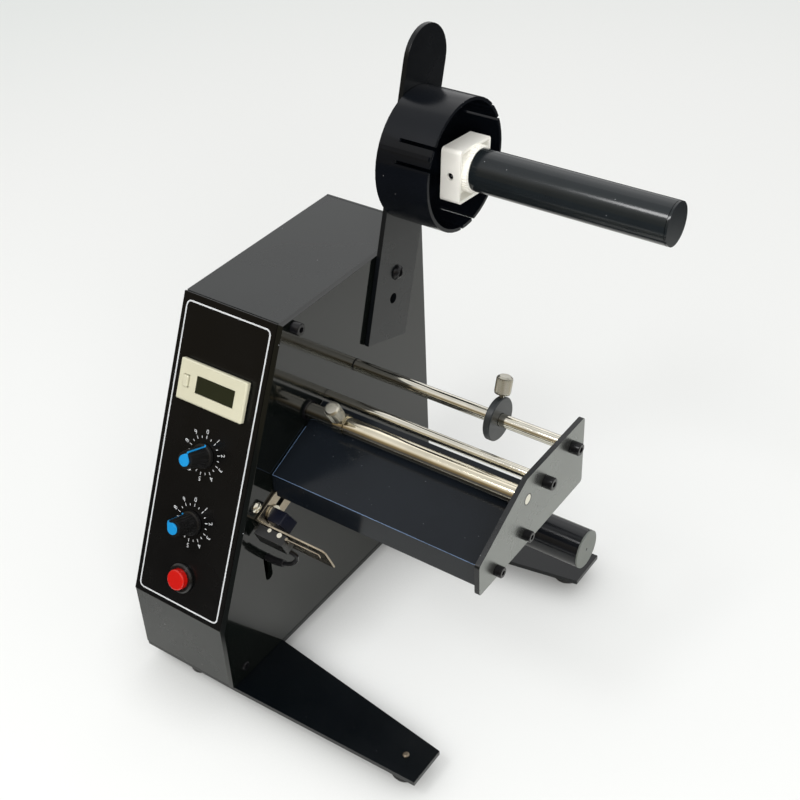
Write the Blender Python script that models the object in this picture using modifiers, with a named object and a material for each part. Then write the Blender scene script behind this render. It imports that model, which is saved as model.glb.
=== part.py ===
"""Desktop label dispenser: a tall folded box with a slanted control panel, a reel on an arm,
guide rods and a peel shelf between two plates, a label sensor and a powered liner spindle.

Side plate's outer face is x = 0 while the parts are built, +X runs out along the rollers,
the panel faces -Y and the base plate's top is z = 0. The root empty then centres the model
on the ground. Metres.
"""
import bmesh
import bpy
from math import atan2, cos, hypot, pi, radians, sin, tan
from mathutils import Matrix, Vector

mm = 0.001

# Clearances and cutting allowances
gap = 0.3 * mm
overrun = 4 * mm
weld = 0.01 * mm

# Housing
box_width = 66 * mm
box_depth = 208 * mm
box_height = 212 * mm
knee_height = 46 * mm
slope_run = 77 * mm
sheet = 1.5 * mm
side_plate_thickness = 3.5 * mm
panel_thickness = 1.5 * mm
cover_reveal = 0.5 * mm
vent_slot_width = 3 * mm
vent_slot_length = 30 * mm
vent_pitch = 9 * mm
vent_count = 5

# Base plate with two tapering prongs, and its feet
base_thickness = 3 * mm
base_front_inset = 1 * mm
prong_reach = 126 * mm
front_prong_root = 45 * mm
front_prong_tip = 25.2 * mm
front_prong_toe_in = 2.6 * mm
rear_prong_root = 43 * mm
rear_prong_tip = 27.6 * mm
rear_prong_toe_out = 5 * mm
foot_radius = 6.8 * mm
tip_foot_radius = 8.8 * mm
foot_height = 10 * mm
foot_flare = 0.8 * mm
foot_from_tip = 14 * mm
foot_from_edge = 11 * mm
foot_from_left = 33 * mm
foot_screw_radius = 1.5 * mm
foot_screw_head = 1.9 * mm
foot_screw_head_height = 1.1 * mm
foot_screw_crown_share = 0.6

# Control panel, where each control sits is a share of the slope from its top edge
counter_drop_share = 0.26
upper_knob_drop_share = 0.475
lower_knob_drop_share = 0.7
button_drop_share = 0.889
counter_width = 48 * mm
counter_height = 24 * mm
counter_bezel = 4 * mm
counter_bezel_lip = 1.5 * mm
counter_edge = 0.8 * mm
counter_depth = 34 * mm
window_width = 27.3 * mm
window_height = 9.6 * mm
window_recess = 1.2 * mm
window_thickness = 0.8 * mm
window_from_centre = 3.1 * mm
reset_width = 3.4 * mm
reset_height = 6.8 * mm
reset_travel = 0.8 * mm
reset_proud = 1.2 * mm
reset_stem = 2 * mm
reset_edge = 0.4 * mm
reset_from_centre = 17.7 * mm
knob_skirt_radius = 7.4 * mm
knob_skirt_height = 1.6 * mm
knob_base_radius = 6.2 * mm
knob_top_radius = 5.2 * mm
knob_height = 15.6 * mm
knob_flute_depth = 0.35 * mm
knob_flutes = 18
knob_cap_radius = 4.4 * mm
knob_cap_height = 0.9 * mm
knob_cap_nose = 6.2 * mm
knob_nose_angle = 35
pot_shaft_radius = 3 * mm
pot_bush_radius = 4 * mm
pot_bush_height = 3.6 * mm
pot_body_radius = 8.2 * mm
pot_body_depth = 10 * mm
upper_knob_turn = 14
lower_knob_turn = -58
button_radius = 6.2 * mm
button_proud = 6.2 * mm
button_travel = 2.5 * mm
button_edge = 0.6 * mm
bezel_radius = 8.9 * mm
bezel_height = 2.6 * mm
bezel_lip = 1 * mm
button_barrel_radius = 7.6 * mm
button_body_depth = 18 * mm

# Reel arm and reel
arm_width = 39 * mm
arm_thickness = 3 * mm
arm_length = 185 * mm
arm_tilt = 17.6
arm_foot_from_rear = 44.4 * mm
arm_foot_drop = 58 * mm
arm_screw_along = 42.5 * mm
arm_hole_along = 26.5 * mm
arm_hole_radius = 3.1 * mm
arm_screw_radius = 2.5 * mm
arm_screw_head = 4.6 * mm
arm_screw_head_height = 2.6 * mm
hub_along = 114 * mm
drum_radius = 38.1 * mm
drum_wall = 2 * mm
drum_width = 34 * mm
drum_web = 3 * mm
drum_boss_radius = 11 * mm
finger_count = 3
finger_first_turn = 28
finger_half_angle = 9
slit_width = 2.1 * mm
slit_length = 22 * mm
ridge_height = 0.8 * mm
ridge_width = 2.2 * mm
block_size = 31 * mm
block_depth = 12.3 * mm
block_sunk = 6.3 * mm
block_wall = 1.8 * mm
block_pocket_depth = 6 * mm
block_boss_radius = 13.2 * mm
block_boss_height = 3.3 * mm
block_boss_step = 0.4 * mm
block_post_radius = 6 * mm
block_plug_length = 14 * mm
block_set_hole = 2.1 * mm
block_corner = 2.2 * mm
block_drop = 1.3 * mm
block_lean = -5
tube_radius = 12.2 * mm
tube_wall = 2 * mm
tube_length = 115.5 * mm
tube_cap_thickness = 1.2 * mm
tube_cap_plug = 7 * mm
axle_radius = 4 * mm
axle_nut_radius = 7 * mm
axle_nut_height = 5 * mm

# Working side: plates, rods and peel shelf
plate_spacing = 140 * mm
outer_plate_thickness = 3 * mm
shelf_front_y = 54.1 * mm
shelf_front_z = 126.2 * mm
shelf_slope = 22.1
shelf_length = 53.5 * mm
shelf_sheet = 1.5 * mm
shelf_end_gap = 0.6 * mm
flange_height = 14.4 * mm
strip_notch_width = 1.9 * mm
left_tab_depth = 9 * mm
tab_length = 44 * mm
right_tab_drop = 6.9 * mm
shelf_screw_front_back = 5.4 * mm
shelf_screw_front_drop = 2.7 * mm
shelf_screw_rear_back = 34.1 * mm
shelf_screw_rear_drop = 0.6 * mm
roller_along = 42 * mm
web_clearance = 1.4 * mm
roller_radius = 5.1 * mm
roller_axle_radius = 4 * mm
axle_shoulder_radius = 4.8 * mm
axle_ring_radius = 6 * mm
axle_ring_width = 1.2 * mm
collar_radius = 6 * mm
collar_width = 6.4 * mm
collar_from_plate = 21 * mm
tie_rod_back = 17.4 * mm
tie_rod_drop = 0.2 * mm
tie_rod_radius = 3 * mm
guide_rod_back = 46 * mm
guide_rod_rise = 3.2 * mm
guide_rod_radius = 3.7 * mm
rod_spigot_share = 0.6
axle_spigot_share = 0.72
disc_radius = 12.8 * mm
disc_width = 4.2 * mm
disc_from_plate = 94.6 * mm
disc_edge_radius = 0.5 * mm
thumb_radius = 4.5 * mm
thumb_height = 10.4 * mm
thumb_crown = 0.9 * mm
thumb_stem_radius = 1.4 * mm
thumb_stem_seat = 4 * mm
thumb_stem_show = 2.2 * mm
thumb_flutes = 18
thumb_flute_depth = 0.3 * mm
disc_thumb_tilt = 18
collar_thumb_tilt = -28
plate_rear_margin = 13.7 * mm
plate_top_margin = 11 * mm
plate_front_margin = 10.4 * mm
plate_nose_rise = 11.3 * mm
plate_below_shelf = 8.7 * mm
plate_kink_ahead = 1.3 * mm
plate_corner_radius = 2 * mm
rod_screw_radius = 2 * mm
rod_screw_head = 3.6 * mm
rod_screw_head_height = 5.4 * mm
rod_screw_reach = 9 * mm
shelf_screw_radius = 1.5 * mm
shelf_screw_head = 3.1 * mm
shelf_screw_head_height = 4.2 * mm
screw_rim_share = 0.12
socket_share = 0.5
socket_depth_share = 0.55
screw_beyond_plate = 6 * mm
screw_beyond_tab = 2 * mm

# Side plate fasteners and cable slot
top_screw_from_front = 8 * mm
top_screw_from_top = 4.8 * mm
low_screw_from_front = 11.4 * mm
low_screw_from_bottom = 9.9 * mm
low_screw_head_share = 0.8
low_screw_height_share = 0.3
pan_screw_from_slope = 8.1 * mm
pan_screw_z = 112.9 * mm
pan_screw_head = 3.4 * mm
pan_screw_head_height = 2 * mm
cross_width_share = 0.22
cross_length_share = 1.1
cross_floor_share = 0.45
cross_turn = 23
cable_slot_y = 42 * mm
cable_slot_z = 65.2 * mm
cable_slot_width = 6 * mm
cable_slot_length = 19.6 * mm
slot_round_share = 0.49

# Label sensor: a slotted strip with a long upright ear, its clamp, micro switch and lead
strip_from_slope = 8.4 * mm
strip_corner_z = 105.9 * mm
strip_slope = 22.6
strip_width = 18.6 * mm
strip_length = 38 * mm
strip_thickness = 1.2 * mm
strip_slot_width = 4.4 * mm
strip_slot_start = 6.5 * mm
strip_slot_end = 31 * mm
ear_reach = 49.1 * mm
ear_toe_in = 0.2
ear_chamfer = 2.2 * mm
clamp_along = 11 * mm
clamp_block_width = 8.6 * mm
clamp_block_shift = 1.7 * mm
clamp_block_above = 3 * mm
clamp_block_below = 4.8 * mm
clamp_block_length = 13.6 * mm
clamp_block_slant = 4.8 * mm
clamp_stud_radius = 1.8 * mm
clamp_washer_radius = 4.6 * mm
clamp_washer_thickness = 0.8 * mm
clamp_edge = 0.5 * mm
switch_from_plate = 4 * mm
switch_from_edge = 0.9 * mm
switch_length = 20 * mm
switch_height = 10.2 * mm
switch_depth = 6.4 * mm
lever_thickness = 0.5 * mm
lever_width = 3.8 * mm
lever_length = 22.5 * mm
lever_from_ear = 2 * mm
lever_knuckle_radius = 0.9 * mm
cable_radius = 1.3 * mm
sleeve_radius = 2.3 * mm
sleeve_length = 14.5 * mm
cable_leaves_switch_at = 4 * mm
cable_sag = 14 * mm
cable_inside = 16 * mm
sleeve_from_plate = 0.6 * mm
sleeve_step = 0.1 * mm
lead_step = 1.2
lead_route = [(25.2, 40.2, 87.5), (22.0, 40.3, 81), (15.5, 40.8, 76.4), (7, 41.6, 73.6)]

# Rewind spindle and drive
spindle_from_rear = 36.4 * mm
spindle_height = 45.7 * mm
spindle_radius = 12.2 * mm
spindle_end = 138.5 * mm
spindle_cap_thickness = 1 * mm
spindle_slot_width = 3.4 * mm
spindle_slot_depth = 5 * mm
spindle_slot_turn = 30
clip_thickness = 1 * mm
clip_height = 4 * mm
drive_shaft_radius = 4 * mm
bush_wall = 3 * mm
bush_flange_radius = 9.5 * mm
bush_flange = 1.2 * mm
bracket_thickness = 2 * mm
bracket_width = 44 * mm
bracket_above_axis = 21 * mm
bracket_foot = 24 * mm
gearbox_radius = 18.5 * mm
gearbox_length = 24 * mm
motor_radius = 15 * mm
motor_clearance = 7.9 * mm
shaft_socket_share = 0.6
motor_boss_radius = 6 * mm

# Electrics inside the box
board_length = 60 * mm
board_height = 52 * mm
board_thickness = 1.6 * mm
board_pillar_radius = 3 * mm
board_pillar_height = 6 * mm
board_pillar_inset = 5 * mm
board_front = 92 * mm
board_bottom = 78 * mm
relay_height = 12 * mm
capacitor_height = 16 * mm
terminals_height = 9 * mm
board_part_size_share = 0.22
relay_place_shares = (0.3, 0.35)
capacitor_place_shares = (0.62, 0.3)
terminals_place_shares = (0.5, 0.75)
inlet_radius = 6 * mm
inlet_flange_radius = 8 * mm
inlet_flange = 1.6 * mm
inlet_depth = 14 * mm
inlet_height = 24 * mm
inlet_bore_share = 0.6

# Segments round a turned piece
coarse = 16
medium = 28
fine = 48

# Places worked out from the sizes above
cover_right = -side_plate_thickness - gap
cover_left = cover_right - box_width
panel_centre_x = cover_right - box_width / 2
slope_rise = box_height - knee_height
slope_length = hypot(slope_run, slope_rise)
slope_vector = Vector((0, slope_run, slope_rise)).normalized()
counter_drop = slope_length * counter_drop_share
upper_knob_drop = slope_length * upper_knob_drop_share
lower_knob_drop = slope_length * lower_knob_drop_share
button_drop = slope_length * button_drop_share
base_rear = box_depth + base_front_inset
shelf_run = Vector((cos(radians(shelf_slope)), sin(radians(shelf_slope))))
shelf_up = Vector((-sin(radians(shelf_slope)), cos(radians(shelf_slope))))
shelf_front = Vector((shelf_front_y, shelf_front_z))
roller_centre = shelf_front + shelf_run * roller_along + shelf_up * (roller_radius + web_clearance)
tie_rod_centre = roller_centre + Vector((tie_rod_back, -tie_rod_drop))
guide_rod_centre = roller_centre + Vector((guide_rod_back, guide_rod_rise))
pan_screw_y = slope_run * (pan_screw_z - knee_height) / slope_rise + pan_screw_from_slope
strip_corner_y = slope_run * (strip_corner_z - knee_height) / slope_rise + strip_from_slope
spindle_centre = Vector((box_depth - spindle_from_rear, spindle_height))
arm_up = Vector((sin(radians(arm_tilt)), cos(radians(arm_tilt))))
arm_foot = Vector((box_depth - arm_foot_from_rear, box_height - arm_foot_drop))
hub_centre = arm_foot + arm_up * hub_along
strip_run = Vector((cos(radians(strip_slope)), sin(radians(strip_slope))))
strip_down = Vector((sin(radians(strip_slope)), -cos(radians(strip_slope))))
strip_corner = Vector((strip_corner_y, strip_corner_z))
strip_to_flange = shelf_front_y + shelf_sheet - strip_corner_y
strip_top_at_flange = strip_corner_z + strip_to_flange * tan(radians(strip_slope))
clamp_centre = strip_corner + strip_run * clamp_along + strip_down * (strip_width / 2)
drum_front = arm_thickness + 2 * gap + drum_width

along_x = (0, pi / 2, 0)
facing_x = (pi / 2, 0, pi / 2)


def clear_scene():
    for item in list(bpy.data.objects):
        bpy.data.objects.remove(item, do_unlink=True)


def new_collection(name):
    collection = bpy.data.collections.new(name)
    bpy.context.scene.collection.children.link(collection)
    return collection


def new_material(name, colour, roughness, metallic=0.0):
    material = bpy.data.materials.new(name)
    material.use_nodes = True
    shader = material.node_tree.nodes["Principled BSDF"]
    shader.inputs["Base Color"].default_value = (*colour, 1.0)
    shader.inputs["Roughness"].default_value = roughness
    shader.inputs["Metallic"].default_value = metallic
    return material


clear_scene()
parts = new_collection("label_dispenser")
cutters = new_collection("cutters")

gloss_black = new_material("gloss_black", (0.012, 0.012, 0.013), 0.12)
satin_black = new_material("satin_black", (0.02, 0.02, 0.021), 0.42)
black_plastic = new_material("black_plastic", (0.02, 0.02, 0.021), 0.4)
black_steel = new_material("black_steel", (0.03, 0.03, 0.03), 0.35, 0.6)
nickel = new_material("nickel", (0.72, 0.69, 0.62), 0.2, 1.0)
steel = new_material("steel", (0.55, 0.55, 0.56), 0.3, 1.0)
brass = new_material("brass", (0.72, 0.52, 0.22), 0.3, 1.0)
cream_plastic = new_material("cream_plastic", (0.84, 0.82, 0.7), 0.4)
white_plastic = new_material("white_plastic", (0.86, 0.85, 0.8), 0.4)
grey_plastic = new_material("grey_plastic", (0.55, 0.55, 0.54), 0.5)
blue_plastic = new_material("blue_plastic", (0.05, 0.35, 0.8), 0.35)
red_plastic = new_material("red_plastic", (0.75, 0.03, 0.02), 0.3)
dark_glass = new_material("dark_glass", (0.09, 0.09, 0.06), 0.15)
rubber = new_material("rubber", (0.015, 0.015, 0.015), 0.8)
board_green = new_material("board_green", (0.03, 0.2, 0.07), 0.5)

root = bpy.data.objects.new("dispenser_origin", None)
parts.objects.link(root)


def empty(name, location, rotation=(0, 0, 0)):
    """A frame for the pieces that share one axis or one sloping face."""
    frame = bpy.data.objects.new(name, None)
    parts.objects.link(frame)
    frame.location = location
    frame.rotation_euler = rotation
    frame.parent = root
    return frame


def add(name, mesh, material, parent=None, location=(0, 0, 0), rotation=(0, 0, 0)):
    """Link a mesh as a named part, or as a cutter when it has no material."""
    item = bpy.data.objects.new(name, mesh)
    if material is None:
        cutters.objects.link(item)
        item.hide_render = True
        item.display_type = "WIRE"
    else:
        parts.objects.link(item)
        mesh.materials.append(material)
    item.location = location
    item.rotation_euler = rotation
    item.parent = parent or root
    return item


def mesh_from(bm, name):
    mesh = bpy.data.meshes.new(name)
    bm.to_mesh(mesh)
    bm.free()
    return mesh


def box(name, size, material, **placing):
    bm = bmesh.new()
    bmesh.ops.create_cube(bm, size=1)
    bmesh.ops.scale(bm, vec=size, verts=bm.verts)
    return add(name, mesh_from(bm, name), material, **placing)


def rods(name, places, length, material=None, segments=medium, **placing):
    """One mesh of straight round rods along local Z, each (x, y, radius), centred on z = 0."""
    bm = bmesh.new()
    for x, y, radius in places:
        bmesh.ops.create_cone(bm, cap_ends=True, segments=segments, radius1=radius,
                              radius2=radius, depth=length, matrix=Matrix.Translation((x, y, 0)))
    return add(name, mesh_from(bm, name), material, **placing)


def turned(name, profile, material, segments=medium, ring=False, **placing):
    """Spin a profile of (radius, height) about local Z; it runs down the outer side."""
    mesh = bpy.data.meshes.new(name)
    count = len(profile)
    edges = [(i, i + 1) for i in range(count - 1)]
    if ring:
        edges.append((count - 1, 0))
    mesh.from_pydata([(radius, 0, height) for radius, height in profile], edges, [])
    item = add(name, mesh, material, **placing)
    screw = item.modifiers.new("turn", "SCREW")
    screw.steps = segments
    screw.render_steps = segments
    screw.use_merge_vertices = True
    screw.merge_threshold = weld
    screw.use_smooth_shade = False
    return item


def outline_mesh(name, outline, thickness):
    """A flat closed outline as a 2D curve, thickened evenly both ways and welded into a mesh."""
    curve = bpy.data.curves.new(name, "CURVE")
    curve.dimensions = "2D"
    curve.fill_mode = "BOTH"
    curve.extrude = thickness / 2
    spline = curve.splines.new("POLY")
    spline.points.add(len(outline) - 1)
    for point, (x, y) in zip(spline.points, outline):
        point.co = (x, y, 0, 1)
    spline.use_cyclic_u = True
    source = bpy.data.objects.new(name, curve)
    bpy.context.scene.collection.objects.link(source)
    graph = bpy.context.evaluated_depsgraph_get()
    mesh = bpy.data.meshes.new_from_object(source.evaluated_get(graph))
    bpy.data.objects.remove(source, do_unlink=True)
    bpy.data.curves.remove(curve)
    bm = bmesh.new()
    bm.from_mesh(mesh)
    bmesh.ops.remove_doubles(bm, verts=bm.verts, dist=weld)
    bmesh.ops.recalc_face_normals(bm, faces=bm.faces)
    bm.to_mesh(mesh)
    bm.free()
    return mesh


def plate(name, outline, thickness, material, **placing):
    return add(name, outline_mesh(name, outline, thickness), material, **placing)


def combine(target, other, operation):
    modifier = target.modifiers.new(other.name, "BOOLEAN")
    modifier.operation = operation
    modifier.solver = "EXACT"
    modifier.object = other
    return target


def cut(target, *tools):
    for tool in tools:
        combine(target, tool, "DIFFERENCE")
    return target


def join(target, *pieces):
    for piece in pieces:
        combine(target, piece, "UNION")
    return target


def soften(item, width, segments=1, angle=40):
    bevel = item.modifiers.new("edges", "BEVEL")
    bevel.width = width
    bevel.segments = segments
    bevel.limit_method = "ANGLE"
    bevel.angle_limit = radians(angle)
    return item


def rounded(points, radius, steps=4):
    """Round every corner of a convex outline, given anticlockwise or clockwise."""
    result = []
    count = len(points)
    for i, corner in enumerate(points):
        corner = Vector(corner)
        before = (Vector(points[i - 1]) - corner).normalized()
        after = (Vector(points[(i + 1) % count]) - corner).normalized()
        half = before.angle(after) / 2
        centre = corner + (before + after).normalized() * (radius / sin(half))
        start = corner + before * (radius / tan(half)) - centre
        end = corner + after * (radius / tan(half)) - centre
        for step in range(steps + 1):
            blend = start.lerp(end, step / steps)
            result.append(tuple(centre + blend.normalized() * radius))
    return result


def inset(points, distances):
    """Move each edge of a convex outline inwards; edge i joins point i to point i + 1."""
    count = len(points)
    middle = sum((Vector(p) for p in points), Vector((0, 0))) / count
    lines = []
    for i in range(count):
        start = Vector(points[i])
        run = (Vector(points[(i + 1) % count]) - start).normalized()
        inward = Vector((-run.y, run.x))
        if inward.dot(middle - start) < 0:
            inward = -inward
        lines.append((start + inward * distances[i], run))
    result = []
    for i in range(count):
        start, run = lines[i - 1]
        other, direction = lines[i]
        turn = run.x * direction.y - run.y * direction.x
        step = ((other.x - start.x) * direction.y - (other.y - start.y) * direction.x) / turn
        result.append(tuple(start + run * step))
    return result


def flute(bm, count, share):
    """Draw in every second vertex of a round mesh about z, which leaves that many flutes."""
    for vert in bm.verts:
        turn = atan2(vert.co.y, vert.co.x) / (2 * pi) % 1
        if round(turn * 2 * count) % 2:
            vert.co.x *= share
            vert.co.y *= share


def hex_socket(name, head_radius, depth, top, **placing):
    """Cutter for the key socket in a screw head; its mouth is at local z = top."""
    radius = head_radius * socket_share
    bm = bmesh.new()
    bmesh.ops.create_cone(bm, cap_ends=True, segments=6, radius1=radius, radius2=radius,
                          depth=depth + overrun,
                          matrix=Matrix.Translation((0, 0, top - depth + (depth + overrun) / 2)))
    return add(name, mesh_from(bm, name), None, **placing)


def cap_screw(name, head, height, shank, reach, material, **placing):
    """Socket-head screw: the head stands on local z = 0 and the shank runs down from it."""
    rim = head * screw_rim_share
    profile = [(0, height), (head - rim, height), (head, height - rim), (head, 0),
               (shank, 0), (shank, -reach), (0, -reach)]
    screw = turned(name, profile, material, segments=coarse, **placing)
    socket = hex_socket(name + "_socket", head, height * socket_depth_share, height,
                        **placing)
    return cut(screw, socket)


def at_x(x, centre):
    """World place of a (y, z) point at the given x."""
    return (x, centre[0], centre[1])


# Side outline of the box, from its bottom front corner, clockwise seen from the working side
side_outline = [(0, gap), (0, knee_height), (slope_run, box_height),
                (box_depth, box_height), (box_depth, gap)]


def build_base():
    front = base_front_inset
    outline = [
        (cover_left, front),
        (0, front),
        (prong_reach, front + front_prong_toe_in),
        (prong_reach, front + front_prong_toe_in + front_prong_tip),
        (0, front + front_prong_root),
        (0, base_rear - rear_prong_root),
        (prong_reach, base_rear + rear_prong_toe_out - rear_prong_tip),
        (prong_reach, base_rear + rear_prong_toe_out),
        (0, base_rear),
        (cover_left, base_rear),
    ]
    base = plate("base_plate", outline, base_thickness, satin_black,
                 location=(0, 0, -base_thickness / 2))
    tip_x = prong_reach - foot_from_tip
    box_x = cover_left + foot_from_left
    front_tip_y = front + front_prong_toe_in + front_prong_tip / 2
    rear_tip_y = base_rear + rear_prong_toe_out - rear_prong_tip / 2
    places = {
        "front_tip": (tip_x, front_tip_y),
        "rear_tip": (tip_x, rear_tip_y),
        "front_box": (box_x, front + foot_from_edge),
        "rear_box": (box_x, base_rear - foot_from_edge),
    }
    hole = foot_screw_radius + gap
    holes = rods("base_holes", [(x, y, hole) for x, y in places.values()],
                 base_thickness + 2 * overrun, location=(0, 0, -base_thickness / 2),
                 segments=coarse)
    cut(base, holes)
    for name, (x, y) in places.items():
        build_foot(name, x, y, tip_foot_radius if name.endswith("tip") else foot_radius)
    for name in ("front_tip", "rear_tip"):
        build_foot_screw(name, *places[name])


def build_foot(name, x, y, radius):
    top = -base_thickness - gap
    bottom = top - foot_height
    bore = foot_screw_radius + gap
    profile = [(radius - foot_flare, top), (radius, bottom + foot_flare),
               (radius - foot_flare, bottom), (0, bottom),
               (0, top - foot_height / 2), (bore, top - foot_height / 2), (bore, top)]
    turned("foot_" + name, profile, rubber, ring=True, segments=medium, location=(x, y, 0))


def build_foot_screw(name, x, y):
    head = foot_screw_head
    tall = foot_screw_head_height
    reach = base_thickness + foot_height / 2 - gap
    crown = head * foot_screw_crown_share
    profile = [(0, gap + tall), (crown, gap + tall), (head, gap + tall / 2), (head, gap),
               (foot_screw_radius, gap), (foot_screw_radius, -reach), (0, -reach)]
    turned("foot_screw_" + name, profile, steel, segments=coarse, location=(x, y, 0))


def build_side_plate():
    middle_x = -side_plate_thickness / 2
    side = plate("side_plate", side_outline, side_plate_thickness, gloss_black,
                 location=(middle_x, 0, 0), rotation=facing_x)
    through = side_plate_thickness + 2 * overrun
    arm_screw = arm_foot + arm_up * arm_screw_along
    pan_hole = pan_screw_head / 2 + gap
    spigot = rod_spigot_share
    holes = [
        (*guide_rod_centre, guide_rod_radius * spigot + gap),
        (*tie_rod_centre, tie_rod_radius * spigot + gap),
        (*roller_centre, roller_axle_radius * axle_spigot_share + gap),
        (*spindle_centre, drive_shaft_radius + bush_wall + gap),
        (*arm_screw, arm_screw_radius + gap),
        (*clamp_centre, clamp_stud_radius + gap),
        (pan_screw_y, pan_screw_z, pan_hole),
        (*top_screw_place(), rod_screw_radius + gap),
        (low_screw_from_front, low_screw_from_bottom, rod_screw_radius + gap),
    ]
    tool = rods("side_plate_holes", holes, through, location=(middle_x, 0, 0),
                rotation=facing_x, segments=coarse)
    radius = cable_slot_width / 2
    straight = (cable_slot_length - cable_slot_width) / 2
    corners = [(cable_slot_y + sx * radius, cable_slot_z + sz * (straight + radius))
               for sx, sz in ((-1, -1), (1, -1), (1, 1), (-1, 1))]
    slot_outline = rounded(corners, cable_slot_width * slot_round_share, steps=5)
    slot = plate("cable_slot", slot_outline, through, None, location=(middle_x, 0, 0),
                 rotation=facing_x)
    cut(side, tool, slot)


def top_screw_place():
    edge = Vector((slope_run, box_height))
    return edge + Vector((top_screw_from_front, -top_screw_from_top))


def build_side_screws():
    reach = side_plate_thickness + screw_beyond_plate
    head = rod_screw_head
    cap_screw("side_screw_top", head, rod_screw_head_height, rod_screw_radius, reach, black_steel,
              location=at_x(gap, top_screw_place()), rotation=along_x)
    low = (low_screw_from_front, low_screw_from_bottom)
    cap_screw("side_screw_low", head * low_screw_head_share,
              rod_screw_head_height * low_screw_height_share, rod_screw_radius, reach,
              black_steel, location=at_x(gap, low), rotation=along_x)
    pan = turned("side_pan_screw", dome_profile(pan_screw_head, pan_screw_head_height,
                                                pan_screw_head / 2, reach), nickel,
                 segments=coarse, location=(gap, pan_screw_y, pan_screw_z), rotation=along_x)
    slot = pan_screw_head * cross_width_share
    long = pan_screw_head * cross_length_share
    deep = pan_screw_head_height + overrun
    for turn, label in ((0, "a"), (pi / 2, "b")):
        cross = box("pan_cross_" + label, (slot, long, deep), None,
                    location=(gap + pan_screw_head_height * cross_floor_share + deep / 2,
                              pan_screw_y, pan_screw_z),
                    rotation=(turn + radians(cross_turn), pi / 2, 0))
        cut(pan, cross)


def dome_profile(head, height, shank, reach, steps=4):
    """A rounded head on local z = 0 with its shank below."""
    top = [(head * sin(pi / 2 * i / steps), height * cos(pi / 2 * i / steps))
           for i in range(steps + 1)]
    return top + [(shank, 0), (shank, -reach), (0, -reach)]


def build_cover():
    """Folded sheet: left side, top and lower front. Panel, rear cover and plate close it."""
    rear_trim = cover_reveal + sheet + gap
    outer = inset(side_outline, [cover_reveal, cover_reveal, cover_reveal, rear_trim, 0])
    inner = inset(side_outline, [cover_reveal + sheet, -overrun, cover_reveal + sheet,
                                 -overrun, -overrun])
    middle_x = cover_right - box_width / 2
    cover = plate("cover", outer, box_width, gloss_black,
                  location=(middle_x, 0, 0), rotation=facing_x)
    hollow = plate("cover_hollow", inner, box_width, None,
                   location=(middle_x + sheet, 0, 0), rotation=facing_x)
    seat_depth = panel_thickness + cover_reveal + gap
    seat = box("panel_seat", (box_width + 2 * overrun, slope_length + 2 * gap,
                              seat_depth + overrun), None, parent=panel,
               location=(panel_centre_x, -slope_length / 2, (overrun - seat_depth) / 2))
    cut(cover, hollow, seat)


def build_rear_cover():
    height = box_height - cover_reveal - gap
    middle = (panel_centre_x, box_depth - cover_reveal - sheet / 2, gap + height / 2)
    rear = box("rear_cover", (box_width, sheet, height), gloss_black, location=middle)
    bm = bmesh.new()
    for i in range(vent_count):
        low = (i - (vent_count - 1) / 2) * vent_pitch
        bmesh.ops.create_cube(bm, size=1, matrix=Matrix.Translation((0, 0, low)) @ Matrix.Diagonal(
            (vent_slot_length, sheet + 2 * overrun, vent_slot_width, 1)))
    vents = add("rear_vents", mesh_from(bm, "rear_vents"), None,
                location=(middle[0], middle[1], box_height - vent_count * vent_pitch))
    hole = rods("inlet_hole", [(0, 0, inlet_radius + gap)], sheet + 2 * overrun,
                location=(middle[0], middle[1], inlet_height), rotation=(pi / 2, 0, 0))
    cut(rear, vents, hole)
    inlet_bore = inlet_radius * inlet_bore_share
    turned("power_inlet", [
        (inlet_flange_radius, inlet_flange), (inlet_flange_radius, 0), (inlet_radius, 0),
        (inlet_radius, -inlet_depth), (0, -inlet_depth), (0, -inlet_depth / 2),
        (inlet_bore, -inlet_depth / 2), (inlet_bore, inlet_flange),
    ], black_plastic, ring=True, segments=coarse, rotation=(-pi / 2, 0, 0),
        location=(middle[0], box_depth - cover_reveal + gap, inlet_height))


def build_front_panel():
    middle_s = -slope_length / 2
    face = box("front_panel", (box_width, slope_length, panel_thickness), satin_black,
               parent=panel, location=(panel_centre_x, middle_s, -panel_thickness / 2))
    deep = panel_thickness + 2 * overrun
    window = box("counter_opening", (counter_width - 2 * counter_bezel_lip + 2 * gap,
                                     counter_height - 2 * counter_bezel_lip + 2 * gap, deep),
                 None, parent=panel, location=(panel_centre_x, -counter_drop, 0))
    holes = rods("panel_holes", [
        (panel_centre_x, -upper_knob_drop, pot_bush_radius + gap),
        (panel_centre_x, -lower_knob_drop, pot_bush_radius + gap),
        (panel_centre_x, -button_drop, button_barrel_radius + gap),
    ], deep, parent=panel, segments=coarse)
    cut(face, window, holes)


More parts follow.
